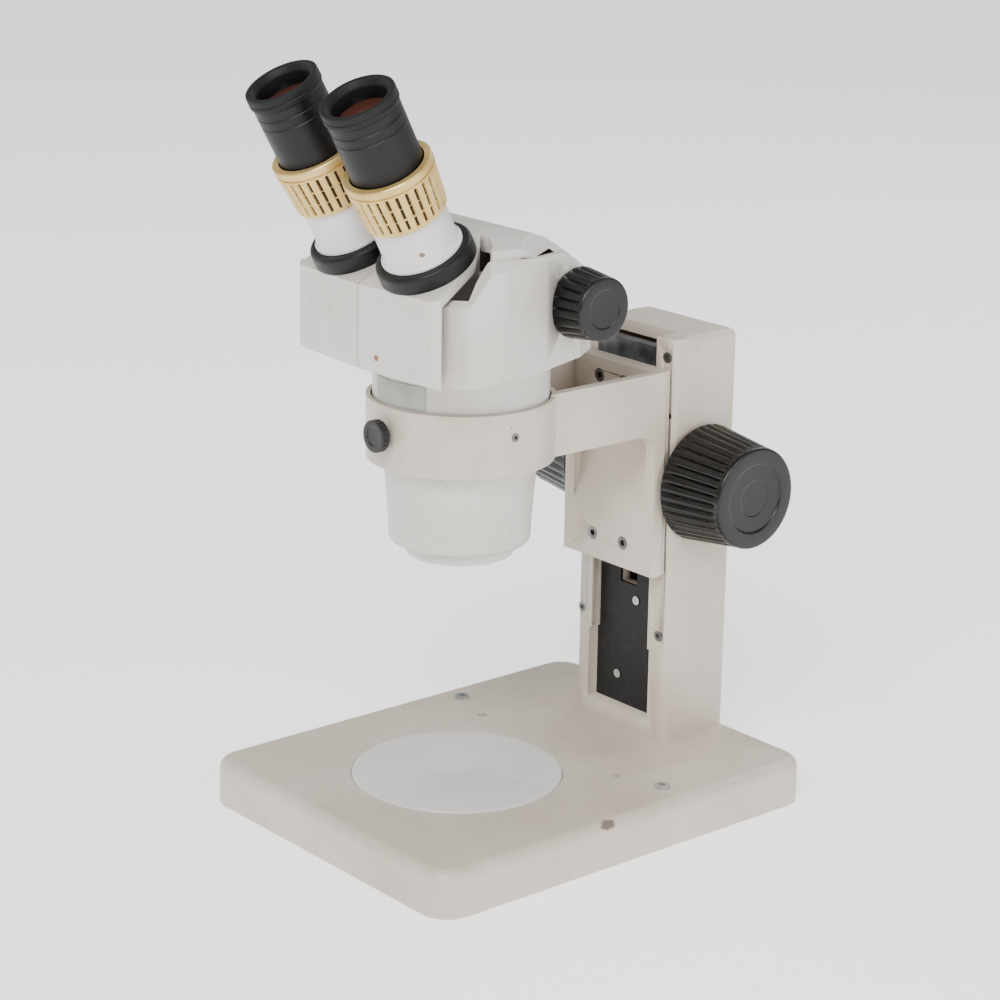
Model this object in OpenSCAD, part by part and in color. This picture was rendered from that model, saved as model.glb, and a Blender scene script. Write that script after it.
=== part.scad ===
// Stereo microscope on a pillar stand: zoom head with two swinging eyepiece tubes,
// held in a ring on a focusing arm that a rack and pinion drives up and down the pillar.
// Millimetres. X points to the user's right, -Y to the user, +Y to the pillar, Z up.
// The origin is on the bench, under the middle of the base.

/* [Base] */
// Width of the base, left to right
base_w = 180; // [160:1:210]
// Depth of the base, front to back
base_d = 228; // [215:1:250]
// Height of the base's top above the bench
base_h = 22.3; // [20:0.1:28]
// Radius of the base's upright corners
base_corner_r = 14; // [8:1:20]
// Radius of the base's rounded top edge
base_edge_r = 5.5; // [2:0.5:7]
// Thickness of the base's side walls
base_wall = 8; // [6:0.5:12]
// Thickness of the base's top
base_top_t = 10; // [9:0.5:12]
// Thickness of the bottom cover
cover_t = 1.5; // [1:0.1:2.5]
// Diameter of a foot pad
pad_d = 18; // [12:1:22]
// Thickness of a foot pad
pad_t = 4; // [3:0.5:6]
// Distance of a foot pad's middle from the base's two nearest sides
pad_inset = 24; // [22:1:30]

/* [Stage plate] */
// Diameter of the stage plate
stage_d = 100; // [80:1:110]
// Thickness of the stage plate
stage_t = 6; // [4:0.5:7]
// Height of the stage plate above the base
stage_proud = 0.8; // [0.2:0.1:1.5]
// Distance of a stage clip hole from the middle plane
clip_hole_x = 49.7; // [40:0.1:56]
// Distance of the clip holes behind the optical axis
clip_hole_back = 56.7; // [54:0.1:62]
// Diameter of a stage clip hole
clip_hole_d = 5; // [4:0.5:6]
// Depth of a stage clip hole
clip_hole_depth = 8; // [5:0.5:9]
// Distance of a bright base screw from the middle plane
base_screw_x = 74.2; // [65:0.1:76]
// Distance of the bright base screws behind the optical axis
base_screw_back = 64; // [58:0.5:70]

/* [Pillar] */
// Width of the pillar
pillar_w = 64; // [60:1:72]
// Depth of the pillar, front to back
pillar_d = 43.6; // [42:0.1:50]
// Height of the pillar's top above the bench
pillar_top = 224; // [222:1:250]
// Distance of the pillar's back from the base's back edge
pillar_back_gap = 1; // [1:0.5:10]
// Radius of the pillar's upright corners
pillar_corner_r = 5; // [4.5:0.5:6]
// Radius of the pillar's top edge
pillar_edge_r = 4; // [2:0.5:4.5]
// Thickness of the pillar's side walls
pillar_wall = 7.5; // [6.5:0.5:9]
// Thickness of the pillar's back wall
pillar_back_t = 6; // [4:0.5:8]
// Thickness of the pillar's foot and of its cap
pillar_foot_t = 8.7; // [7:0.1:10]
// Thickness of a guide rail
rail_t = 10.4; // [9.5:0.1:11]
// Width of a guide rail
rail_w = 11.6; // [11:0.1:12.5]
// Height of the guide rails' lower ends above the bench
rail_foot_z = 67.4; // [60:0.1:67.5]
// Height of the recess cover's top above the bench
recess_top_z = 112; // [108:0.5:120]

/* [Focus] */
// Height of the focus shaft above the bench
pinion_z = 152; // [148:0.5:156]
// Gear module of the focus rack and pinion
gear_module = 0.8; // [0.7:0.05:0.9]
// Number of pinion teeth
pinion_teeth = 16; // [14:1:18]
// Width of the rack and of the pinion
rack_w = 10; // [8:0.5:11]
// Number of rack teeth above the focus shaft at rest
rack_teeth_up = 17; // [16:1:18]
// Number of rack teeth below the focus shaft at rest
rack_teeth_down = 6; // [5:1:7]
// Diameter of the focus shaft
focus_shaft_d = 8; // [6:0.5:9]
// Outside diameter of a shaft bushing
bushing_d = 14; // [12:0.5:18]
// Diameter of a focus knob at its inner end
focus_knob_d = 57.2; // [50:0.2:62]
// Diameter of a focus knob at its outer end
focus_knob_end_d = 49; // [44:0.5:50]
// Length of a focus knob
focus_knob_l = 35.7; // [30:0.1:40]
// Number of grip grooves on a focus knob
focus_knob_grooves = 36; // [24:4:48]
// Thickness of the focus slide
slide_t = 5.4; // [5:0.1:6]
// Height of the focus slide's lower end above the bench at rest
slide_foot_z = 108.6; // [108.2:0.1:112]
// Height of the focus slide's top above the bench at rest
slide_top_z = 219; // [212:0.5:221]

/* [Arm] */
// Thickness of the arm's back plate
arm_plate_t = 9; // [7:0.5:10]
// Width of the arm's back plate
arm_plate_w = 61.4; // [58:0.2:63]
// Width of the arm's beam
arm_w = 63.4; // [60:0.2:70]
// Thickness of the arm's side walls
arm_wall = 4.7; // [3.5:0.1:6]
// Height of the arm's top above the bench
arm_top_z = 209.5; // [208.5:0.1:211]
// Height of the beam from its underside to its top
arm_h = 29.5; // [26:0.5:32]
// Radius of the curve under the beam
arm_curve_r = 9.8; // [6:0.2:12]
// Reach from the arm's back plate to the optical axis
arm_reach = 92.9; // [88:0.1:100]
// Outside diameter of the head ring
ring_d = 87; // [85:0.5:93]
// Height of the head ring
ring_h = 29; // [26:0.2:36]
// Height of the head ring's top above the bench
ring_top_z = 208.5; // [208:0.1:209.5]
// Thickness of the lip that carries the head
ring_lip_t = 2; // [1.5:0.1:3]
// Diameter of the clamp knob
clamp_knob_d = 15; // [12:0.5:18]
// Length of the clamp knob
clamp_knob_l = 4.5; // [3.5:0.5:12]
// Distance of the clamp knob below the ring's top
clamp_drop = 12.5; // [9:0.5:16]

/* [Head] */
// Diameter of the head collar that turns in the ring
collar_d = 81; // [78:0.5:82]
// Height of the collar that shows above the ring
collar_show = 19.5; // [16:0.5:24]
// Width of the head at its widest
head_w = 115; // [108:1:120]
// Distance from the optical axis to the head body's front
head_front = 53.5; // [53:0.1:54]
// Distance from the optical axis to the head's back
head_rear = 59; // [57:0.5:64]
// Thickness of the head body's walls
head_wall = 3.5; // [2.5:0.1:4]
// Thickness of the head body's floor
head_floor_t = 4; // [3.5:0.1:4.2]
// Thickness of the head cover
head_cover_t = 2.5; // [2:0.1:3]
// Diameter of the lower housing at its top
housing_d = 70.6; // [68:0.2:71.5]
// Diameter of the lower housing above its rounded lower edge
housing_low_d = 66; // [62:0.5:67]
// Radius of the lower housing's rounded edge
housing_edge_r = 8; // [5:0.5:9]
// Height of the lower housing's bottom above the bench
housing_foot_z = 138.7; // [136:0.1:142]
// Diameter of the nose ring
nose_d = 50; // [46:0.5:51]
// Height of the nose ring
nose_h = 5.5; // [4:0.5:8]
// Clear diameter of the objective lens
objective_d = 40; // [34:0.5:41]

/* [Zoom] */
// Distance of each zoom channel and swing pivot from the middle plane
channel_x = 12; // [11:0.1:12.5]
// Height of the zoom shaft above the head body's underside
zoom_shaft_up = 27.4; // [24:0.2:30]
// Distance of the zoom shaft behind the optical axis
zoom_shaft_back = 28; // [26.5:0.2:30]
// Diameter of the zoom shaft
zoom_shaft_d = 6; // [5:0.5:7]
// Diameter of a zoom knob at its inner end
zoom_knob_d = 32.8; // [28:0.2:36]
// Diameter of a zoom knob at its outer end
zoom_knob_end_d = 28.8; // [25:0.2:30]
// Length of a zoom knob
zoom_knob_l = 18; // [14:0.5:22]
// Number of grip grooves on a zoom knob
zoom_knob_grooves = 20; // [12:2:28]
// Diameter of a zoom lens
zoom_lens_d = 18; // [14:0.5:19]
// Thickness of a zoom lens carrier
carrier_t = 5; // [4:0.5:7]
// Depth of the lower carrier below the head body's underside at rest
lower_carrier_drop = 58; // [55:0.5:62]
// Depth of the upper carrier below the head body's underside at rest
upper_carrier_drop = 23; // [20:0.5:25]
// Diameter of a guide rod
rod_d = 4; // [3:0.5:5]
// Distance of a guide rod from the optical axis
rod_offset = 25; // [24:0.2:26]

/* [Prism housings] */
// Angle by which the two eyepiece tubes are turned away from each other in plan
tube_splay = 4.2; // [3:0.1:5]
// Tilt of an eyepiece tube from upright, towards the user
tube_tilt = 28.4; // [25:0.1:31]
// Distance of a tube's middle from the middle plane where it meets the housing
tube_x = 24; // [23.5:0.1:25]
// Distance of that point in front of the optical axis
tube_front = 38.7; // [38.4:0.1:39]
// Height of that point above the head body's underside
tube_up = 48.9; // [47:0.1:51]
// Distance from a tube's middle to the front of its prism housing
half_front = 18.8; // [18.6:0.1:20]
// Thickness of the housing's sloping top, measured upright
half_top_t = 5.7; // [4:0.1:6]
// Gap between the two prism housings
half_gap = 0.7; // [0.5:0.1:1.5]
// Number of teeth on a swing gear
swing_teeth = 30; // [26:2:34]
// Diameter of the hollow swing hub
hub_d = 19; // [18:0.2:19.4]

/* [Eyepieces] */
// Diameter of the black tube collar
tube_collar_d = 44.4; // [40:0.2:46]
// Height of the black tube collar
tube_collar_h = 8; // [6:0.5:10]
// Outside diameter of an eyepiece tube
tube_d = 34; // [33.5:0.1:35]
// Distance up the tube at which the diopter ring starts
ring_start = 27.9; // [24:0.1:30]
// Length of the diopter ring
diopter_l = 24.3; // [22:0.1:26]
// Diameter of the diopter ring at its widest
diopter_d = 40.6; // [39:0.2:43]
// Diameter of the diopter ring at its lower end
diopter_low_d = 37.2; // [36.6:0.2:39]
// Number of grip slots round the diopter ring
diopter_slots = 28; // [20:2:36]
// Outside diameter of the insertion tube of an eyepiece
insertion_d = 30; // [28:0.1:30.4]
// Diameter of the eyepiece barrel
barrel_d = 32.8; // [32:0.1:33.2]
// Length of the eyepiece barrel above the draw sleeve
barrel_l = 36.2; // [30:0.2:40]
// Diameter of the eyecup
eyecup_d = 34.2; // [33:0.2:36]
// Height of the eyecup
eyecup_h = 6.7; // [5:0.1:10]
// Clear diameter of the eye lens
eye_lens_d = 25; // [20:0.5:25.5]

/* [Fits] */
// Radial running clearance of shafts and sleeves
run = 0.05; // [0.02:0.01:0.08]
// Gap between parts that slide or turn past each other
gap = 0.3; // [0.2:0.05:0.4]

/* [Hidden] */
$fn = 72;
// Colours
stand_beige = "#bbb2a6";
head_grey = "#c4c0ba";
tube_white = "#d2d0cd";
black_plastic = "#1c1e22";
bright_steel = "#b9bcc0";
dull_steel = "#8d9094";
bronze = "#a5824f";
gold = "#c8a55f";
glass = "#9fb6c4";
rubber = "#202224";
// Overlap that lets cuts run clear of a face
cut = 1;

// Places along the depth of the stand, from the back forwards
pillar_back_y = base_d / 2 - pillar_back_gap;
pillar_front_y = pillar_back_y - pillar_d;
pillar_mid_y = (pillar_back_y + pillar_front_y) / 2;
rail_back_y = pillar_front_y + rail_t;
slide_proud = 0.5;
slide_front_y = pillar_front_y - slide_proud;
slide_back_y = slide_front_y + slide_t;
arm_front_y = slide_front_y - arm_plate_t;
axis_y = arm_front_y - arm_reach;
panel_t = 1.6;
panel_front_y = slide_back_y + 0.7;
web_front_y = panel_front_y + panel_t;
web_back_y = rail_back_y + 1.2;

// Heights and half widths of the pillar's hollow
pillar_floor_z = base_h + pillar_foot_t;
cavity_x = pillar_w / 2 - pillar_wall;
rail_inner_x = pillar_w / 2 - rail_w;
slide_x = rail_inner_x - gap;
recess_x = rail_inner_x + 1.4;
groove_depth = 2.9;
wing_t = 3;
rail_screw_x = (rail_inner_x + pillar_w / 2) / 2 + 1.3;
rail_screw_z = [rail_foot_z + 8.6, pinion_z - 25, pillar_top - 9];
recess_screws = [[5.9, recess_top_z - 24.8], [-6.2, pillar_floor_z + 14.7]];

// Rack and pinion
tooth_pitch = PI * gear_module;
pinion_r = gear_module * pinion_teeth / 2;
rack_pitch_y = slide_back_y + 9.1;
pinion_y = rack_pitch_y + pinion_r;
tooth_share = 0.38;
rack_notch_x = rack_w / 2 + 1;
rack_notch_z = pinion_z - rack_teeth_down * tooth_pitch - 42.5;
focus_knob_x = pillar_w / 2 + 2;
bushing_proud = 1.2;

// Arm, ring and head along the optical axis
ring_foot_z = ring_top_z - ring_h;
collar_foot_z = ring_foot_z + ring_lip_t + 0.2;
head_z = ring_top_z + collar_show;
head_x = head_w / 2;
arm_beam_z = arm_top_z - arm_h;
arm_floor_t = 5;
arm_edge_w = 6.4;
arm_recess_t = 5.5;
arm_recess_z = [slide_foot_z + 27, slide_foot_z + 47];
arm_screw_x = 10.8;
arm_screw_z = [slide_foot_z + 12.4, arm_top_z - 4.8 - 4];
clamp_z = ring_top_z - clamp_drop;
clamp_screw_d = 5.8;
flat_cut = 0.35;
clamp_knob_gap = 2.6;
housing_bore_r = 30;
seat_z = housing_foot_z + 11.3;
lens_t = seat_z - housing_foot_z - 4.5;
spigot_r = objective_d / 2 + 2;
carrier_r = housing_bore_r - 0.4;

// The sloping prism housings, in the head's own frame: origin on the optical axis at its underside
slope = tan(tube_tilt);
// The front stops just short of the tube's slanting bore
half_front_t = half_front - cos(tube_tilt) * tube_d / 2 - gap;
half_inner_x = -tube_x - 1.4;
half_outer_x = 22.2;
half_rear = 22.5;
box_outer_x = 11;
arm_z = 12;
arm_t = 4;
gear_z = head_floor_t + 0.4;
gear_t = 4;
open_x = 43.5;
ledge_drop = 9.7;
ledge_t = 2.5;
rim_top = 53;
split_mid = [20.5, rim_top - 2.2];
split_rear = [head_rear - 9, zoom_shaft_up + 0.6];
cover_x = head_x - 8;
horn_front = -24;
head_tall = rim_top + 17;
horn_foot = rim_top + 2.3;
crown_fall = 3;
ledge_back = -9;
zoom_knob_x = head_x - 10.5;
zoom_boss_x = zoom_knob_x - 8;
zoom_bushing_x = zoom_boss_x - 0.5;
zoom_bushing_r = 5.5;

// Eyepiece tube stack, as distances along the tube from the housing's sloping face
tube_bore_r = insertion_d / 2 + 1.15;
tube_top = ring_start + 12.1;
sleeve_r = tube_bore_r - run;
sleeve_foot = 12;
sleeve_top = ring_start + 16.7;
barrel_foot = sleeve_top + 0.2;
barrel_top = barrel_foot + barrel_l;
insertion_foot = sleeve_foot + 2;

function arc(cx, cy, r, a0, a1, n) =
  [for (i = [0:n]) let (a = a0 + (a1 - a0) * i / n) [cx + r * cos(a), cy + r * sin(a)]];
function both_sides(points) =
  concat(points, [for (i = [len(points) - 1:-1:0]) [-points[i][0], points[i][1]]]);
function slope_z(y) = tube_up + slope * y;

// A box between two opposite corners
module block(low, high) {
  translate(low) cube(high - low);
}

// The upper outline of a slab whose two top edges are rounded
module rounded_top(w, h, r) {
  translate([-w / 2, 0]) square([w, h - r]);
  translate([r - w / 2, 0]) square([w - 2 * r, h]);
  for (side = [-1, 1]) translate([side * (w / 2 - r), h - r]) circle(r);
}

// A slab on z 0 with round upright corners and a rounded top edge, in true surfaces
module rounded_slab(w, d, h, corner_r, edge_r) {
  rotate([90, 0, 0]) linear_extrude(d - 2 * corner_r, center = true) rounded_top(w, h, edge_r);
  rotate([90, 0, 90]) linear_extrude(w - 2 * corner_r, center = true) rounded_top(d, h, edge_r);
  for (x = [-1, 1], y = [-1, 1])
    translate([x * (w / 2 - corner_r), y * (d / 2 - corner_r), 0])
      rotate_extrude() intersection() {
        rounded_top(2 * corner_r, h, edge_r);
        square([corner_r, h]);
      }
}

// A flat rectangle with round corners, centred
module rounded_rect(w, d, r) {
  square([w - 2 * r, d], center = true);
  square([w, d - 2 * r], center = true);
  for (x = [-1, 1], y = [-1, 1]) translate([x * (w / 2 - r), y * (d / 2 - r)]) circle(r);
}

module tube(outer_r, inner_r, h) {
  difference() {
    cylinder(r = outer_r, h = h);
    translate([0, 0, -cut]) cylinder(r = inner_r, h = h + 2 * cut);
  }
}

// A socket-head screw: the head's top is at z 0 and the shank points down
module screw(head_r, head_h, shank_r, length) {
  difference() {
    translate([0, 0, -head_h]) cylinder(r = head_r, h = head_h);
    translate([0, 0, -0.6 * head_h]) cylinder(r = head_r * 0.5, h = head_h, $fn = 6);
  }
  translate([0, 0, -length]) cylinder(r = shank_r, h = length - head_h);
}

// The space that such a screw fills
module screw_space(head_r, head_h, shank_r, length) {
  translate([0, 0, -head_h]) cylinder(r = head_r, h = head_h + 20 * cut);
  translate([0, 0, -length - 0.2]) cylinder(r = shank_r, h = length + cut);
}

// Facing the user, with a screw's top at the origin
module facing_front() {
  rotate([90, 0, 0]) children();
}

// Turned so that z runs to the right, or to the left
module sideways(side) {
  rotate([0, side * 90, 0]) children();
}

// A spur gear on z 0, with a tooth centred at the given angle
module gear(teeth, h, first_tooth) {
  r = gear_module * teeth / 2;
  tip = r + gear_module;
  root = r - 1.2 * gear_module;
  half = tooth_pitch * tooth_share / 2;
  cylinder(r = root, h = h);
  linear_extrude(h)
    for (i = [0:teeth - 1]) rotate(first_tooth + i * 360 / teeth)
      polygon([[root - 0.3, -1.5 * half], [r, -half], [tip, -0.5 * half],
               [tip, 0.5 * half], [r, half], [root - 0.3, 1.5 * half]]);
}

// A turned knob along z with straight grip grooves between its two ends
module grip_knob(r, end_r, length, bore_r, grooves, groove_r, recess_r) {
  round_r = 1.6;
  difference() {
    rotate_extrude() polygon(concat(
      [[bore_r, 0], [r - 0.8, 0], [r, 0.8]],
      arc(end_r - round_r, length - round_r, round_r, 8, 90, 4),
      [[recess_r, length], [recess_r - 0.6, length - 0.8], [bore_r, length - 0.8]]));
    for (i = [0:grooves - 1]) rotate(i * 360 / grooves)
      translate([r, 0, 2.6]) rotate([0, atan2(end_r - r, length), 0])
        cylinder(r = groove_r, h = length - 6, $fn = 16);
  }
}

// ---- Base ----

module base_cavity_outline() {
  rounded_rect(base_w - 2 * base_wall, base_d - 2 * base_wall, base_corner_r / 2);
}

module at_pads() {
  for (x = [-1, 1], y = [-1, 1])
    translate([x * (base_w / 2 - pad_inset), y * (base_d / 2 - pad_inset), 0]) children();
}

module at_clip_holes() {
  for (side = [-1, 1]) translate([side * clip_hole_x, axis_y + clip_hole_back, base_h]) children();
}

module at_base_screws() {
  for (side = [-1, 1]) translate([side * base_screw_x, axis_y + base_screw_back, base_h]) children();
}

module at_pillar_bolts() {
  for (x = [-1, 1], y = [pillar_front_y + 9.5, base_d / 2 - base_wall - 6.5])
    translate([x * (pillar_w / 2 - 10), y, base_h - base_top_t]) children();
}

module base_casting() color(stand_beige) difference() {
  union() {
    difference() {
      rounded_slab(base_w, base_d, base_h, base_corner_r, base_edge_r);
      translate([0, 0, -cut]) linear_extrude(base_h - base_top_t + cut) base_cavity_outline();
    }
    at_pads() translate([0, 0, pad_t]) cylinder(d = pad_d + 4, h = base_h - base_top_t - pad_t + cut);
  }
  translate([0, 0, -cut]) linear_extrude(cover_t + cut)
    rounded_rect(base_w - 2 * base_wall + 6, base_d - 2 * base_wall + 6, base_corner_r / 2 + 3);
  translate([0, axis_y, base_h + stage_proud - stage_t - run])
    cylinder(d = stage_d + 2 * gap, h = stage_t + cut);
  at_clip_holes() translate([0, 0, -clip_hole_depth]) cylinder(d = clip_hole_d, h = clip_hole_depth + cut);
  at_base_screws() translate([0, 0, 1.4]) screw_space(3.6, 1.4, 2, 8);
  at_pillar_bolts() translate([0, 0, -cut]) cylinder(r = 3.1, h = base_top_t + 2 * cut);
}

module base_cover() color(dull_steel) linear_extrude(cover_t) difference() {
  rounded_rect(base_w - 2 * base_wall + 5.6, base_d - 2 * base_wall + 5.6, base_corner_r / 2 + 2.8);
  at_pads() circle(d = pad_d + 0.4);
}

module foot_pads() color(rubber) at_pads() cylinder(d = pad_d, h = pad_t);

module base_screws() color(bright_steel) at_base_screws() translate([0, 0, 1.4]) screw(3.6, 1.4, 2, 8);

module stage_plate() color(tube_white) translate([0, axis_y, base_h + stage_proud - stage_t])
  rotate_extrude() polygon([[0, 0], [stage_d / 2, 0], [stage_d / 2, stage_t - 0.4],
                            [stage_d / 2 - 0.4, stage_t], [0.6, stage_t], [0, stage_t - 0.5]]);

// ---- Pillar ----

// Everything in front of the pillar's walls, above the lower flanges
module rail_seat() {
  block([-pillar_w, pillar_front_y - cut, rail_foot_z], [pillar_w, rail_back_y, pillar_top + cut]);
}

module at_rail_screws(side) {
  for (z = rail_screw_z) translate([side * rail_screw_x, pillar_front_y, z]) facing_front() children();
}

module at_recess_screws() {
  for (p = recess_screws) translate([p[0], panel_front_y, p[1]]) facing_front() children();
}

module pillar_casting() color(stand_beige) difference() {
  union() {
    difference() {
      translate([0, pillar_mid_y, base_h])
        rounded_slab(pillar_w, pillar_d, pillar_top - base_h, pillar_corner_r, pillar_edge_r);
      block([-cavity_x, web_back_y - cut, pillar_floor_z],
            [cavity_x, pillar_back_y - pillar_back_t, pillar_top - pillar_foot_t + 2.7]);
      block([-recess_x, pillar_front_y - cut, pillar_floor_z],
            [recess_x, web_back_y, pillar_top - pillar_foot_t]);
      rail_seat();
      block([-rail_inner_x, pillar_front_y - cut, pillar_floor_z],
            [rail_inner_x, rail_back_y + 3, pillar_top + cut]);
    }
    block([-recess_x - cut, web_front_y, pillar_floor_z - cut], [recess_x + cut, web_back_y, rail_foot_z]);
    block([-slide_x, web_front_y, rail_foot_z - cut], [slide_x, web_back_y, recess_top_z]);
    block([-cavity_x - cut, rail_back_y, pillar_floor_z], [cavity_x + cut, web_back_y, recess_top_z]);
  }
  block([-rack_notch_x, web_front_y - cut, rack_notch_z],
        [rack_notch_x, web_back_y + cut, recess_top_z + cut]);
  translate([0, pinion_y, pinion_z]) sideways(1)
    cylinder(d = bushing_d, h = 2 * pillar_w, center = true);
  for (side = [-1, 1]) at_rail_screws(side) translate([0, 0, -18]) cylinder(r = 1.5, h = 20);
  at_recess_screws() translate([0, 0, -5]) cylinder(r = 1.25, h = 6);
  at_pillar_bolts() cylinder(r = 3, h = base_top_t + pillar_foot_t - 2);
}

module pillar_bolts() color(dull_steel) at_pillar_bolts() rotate([180, 0, 0]) translate([0, 0, 5])
  screw(5, 5, 3, base_top_t + pillar_foot_t + 1);

module guide_rail(side) color(stand_beige) difference() {
  translate([0, 0, rail_foot_z]) linear_extrude(pillar_top - rail_foot_z)
  mirror([(1 - side) / 2, 0]) difference() {
    union() {
      translate([rail_inner_x, pillar_front_y])
        square([rail_w - pillar_corner_r, rail_t]);
      translate([rail_inner_x, pillar_front_y + pillar_corner_r])
        square([rail_w, rail_t - pillar_corner_r]);
      translate([pillar_w / 2 - pillar_corner_r, pillar_front_y + pillar_corner_r]) circle(pillar_corner_r);
    }
    translate([rail_inner_x - cut, (slide_front_y + slide_back_y - wing_t) / 2 + 0.4 - 0.2])
      square([groove_depth + cut, wing_t + 0.4]);
  }
  at_rail_screws(side) screw_space(2.6, 1.6, 1.5, 16);
}

module guide_rail_left() guide_rail(-1);
module guide_rail_right() guide_rail(1);

module rail_screws() color(dull_steel) for (side = [-1, 1]) at_rail_screws(side) screw(2.6, 1.6, 1.5, 16);

module recess_cover() color(black_plastic) difference() {
  union() {
    block([0.3 - recess_x, panel_front_y, pillar_floor_z], [recess_x - 0.3, web_front_y, rail_foot_z - 0.3]);
    block([-slide_x, panel_front_y, pillar_floor_z], [slide_x, web_front_y, recess_top_z]);
  }
  block([-rack_notch_x, panel_front_y - cut, rack_notch_z],
        [rack_notch_x, web_front_y + cut, recess_top_z + cut]);
  at_recess_screws() cylinder(r = 1.3, h = 20, center = true);
}

module recess_cover_screws() color(bright_steel) at_recess_screws() translate([0, 0, 0.6])
  screw(2.2, 0.6, 1.25, 5);

module shaft_bushings() color(bronze) for (side = [-1, 1]) translate([0, pinion_y, pinion_z]) sideways(side)
  translate([0, 0, cavity_x])
    tube(bushing_d / 2, focus_shaft_d / 2 + run, pillar_wall + bushing_proud);

// ---- Carriage ----

module at_arm_screws() {
  for (side = [-1, 1]) {
    translate([side * arm_screw_x, arm_front_y, arm_screw_z[0]]) facing_front() children();
    translate([side * (arm_screw_x - 2.1), arm_front_y, arm_screw_z[1]]) facing_front() children();
  }
}

module focus_slide() color(dull_steel) difference() {
  wing_y = (slide_front_y + slide_back_y - wing_t) / 2 + 0.4;
  union() {
    block([-slide_x, slide_front_y, slide_foot_z], [slide_x, slide_back_y, slide_top_z]);
    block([-rail_inner_x - groove_depth + gap, wing_y, slide_foot_z],
          [rail_inner_x + groove_depth - gap, wing_y + wing_t, slide_top_z]);
  }
  at_arm_screws() translate([0, 0, -arm_plate_t - 4]) cylinder(r = 2, h = 20);
}

module focus_rack() color(bronze) {
  teeth_up = rack_teeth_up;
  teeth_down = rack_teeth_down;
  root_y = rack_pitch_y - 1.2 * gear_module;
  half = tooth_pitch * tooth_share / 2;
  block([-rack_w / 2, slide_back_y, pinion_z - (teeth_down + 0.5) * tooth_pitch],
        [rack_w / 2, root_y, pinion_z + (teeth_up + 0.5) * tooth_pitch]);
  for (i = [-teeth_down:teeth_up]) translate([-rack_w / 2, 0, pinion_z + i * tooth_pitch])
    rotate([90, 0, 90]) linear_extrude(rack_w)
      polygon([[root_y - 0.1, -1.5 * half], [rack_pitch_y, -half], [rack_pitch_y + gear_module, -0.5 * half],
               [rack_pitch_y + gear_module, 0.5 * half], [rack_pitch_y, half], [root_y - 0.1, 1.5 * half]]);
}

// The outline of the curve under the beam, as depth and height
function arm_curve() =
  arc(arm_front_y - arm_curve_r, arm_beam_z - arm_curve_r, arm_curve_r, 90, 0, 8);

// Side outline of the arm, as depth and height
module arm_side() {
  polygon(concat(
    [[axis_y, arm_top_z], [axis_y, arm_beam_z]], arm_curve(),
    [[arm_front_y, slide_foot_z], [slide_front_y - 3, slide_foot_z], [slide_front_y - 3, arm_top_z]]));
}

// The hollow in the front of the arm's plate, which runs out above the lower screws
module arm_recess() {
  w = arm_w - 2 * arm_edge_w;
  along_x([[arm_front_y - cut, arm_recess_z[0] - cut], [arm_front_y, arm_recess_z[0]],
    [arm_front_y + arm_recess_t, arm_recess_z[1]], [arm_front_y + arm_recess_t, arm_beam_z],
    [arm_front_y - cut, arm_beam_z]], w);
}

module arm_bracket() color(stand_beige) difference() {
  union() {
    translate([0, axis_y, ring_foot_z]) intersection() {
      cylinder(d = ring_d, h = ring_h);
      block([-ring_d, flat_cut - ring_d / 2, -cut], [ring_d / 2 - flat_cut, ring_d, ring_h + cut]);
    }
    for (side = [-1, 1]) {
      translate([side * (arm_w - arm_wall) / 2, 0, 0])
        rotate([90, 0, 90]) linear_extrude(arm_wall, center = true) arm_side();
      translate([side * (arm_w - arm_edge_w) / 2, 0, 0]) along_x(concat(arm_curve(),
        [[arm_front_y + cut, arm_beam_z - arm_curve_r], [arm_front_y + cut, arm_beam_z + cut],
         [arm_front_y - arm_curve_r, arm_beam_z + cut]]), arm_edge_w);
    }
    block([-arm_w / 2 + cut, axis_y + ring_d / 2 - 12, arm_beam_z],
          [arm_w / 2 - cut, arm_front_y + cut, arm_beam_z + arm_floor_t]);
    block([-arm_plate_w / 2, arm_front_y, slide_foot_z], [arm_plate_w / 2, slide_front_y, arm_top_z]);
  }
  translate([0, axis_y, ring_foot_z + ring_lip_t]) cylinder(d = collar_d + 0.16, h = arm_top_z);
  translate([0, axis_y, ring_foot_z - cut]) cylinder(r = housing_d / 2 + 1.7, h = ring_h);
  translate([0, axis_y, ring_top_z - 3]) cylinder(r = collar_d / 2 + 0.9, h = ring_h);
  translate([0, axis_y, clamp_z]) facing_front() cylinder(d = clamp_screw_d + 2 * run, h = ring_d);
  translate([0, axis_y - 4, clamp_z + 1.4]) sideways(1) cylinder(r = 2, h = ring_d);
  at_arm_screws() screw_space(3.4, 3.6, 2, arm_plate_t + 3);
  arm_recess();
}

module arm_screws() color(dull_steel) at_arm_screws() screw(3.4, 3.6, 2, arm_plate_t + 3);

module ring_set_screw() color(dull_steel)
  translate([ring_d / 2 - flat_cut + 0.4, axis_y - 4, clamp_z + 1.4]) sideways(1)
    screw(2, 1.6, 1.6, (ring_d - collar_d) / 2 - flat_cut + 0.3);

module ring_clamp_knob() color(black_plastic) translate([0, axis_y, clamp_z]) facing_front() {
  screw_end = ring_d / 2 + clamp_knob_gap;
  knob_r = clamp_knob_d / 2;
  translate([0, 0, collar_d / 2 + gap]) cylinder(d = clamp_screw_d, h = screw_end - collar_d / 2);
  translate([0, 0, screw_end]) difference() {
    rotate_extrude() polygon(concat([[0, 0], [knob_r - 0.8, 0], [knob_r, 0.8]],
      arc(knob_r - 1.2, clamp_knob_l - 1.2, 1.2, 0, 90, 4), [[0, clamp_knob_l]]));
    for (i = [0:17]) rotate(i * 20) translate([knob_r + 0.5, 0, -cut])
      cylinder(r = 0.9, h = clamp_knob_l + 2 * cut);
  }
}

// ---- Focus shaft ----

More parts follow.
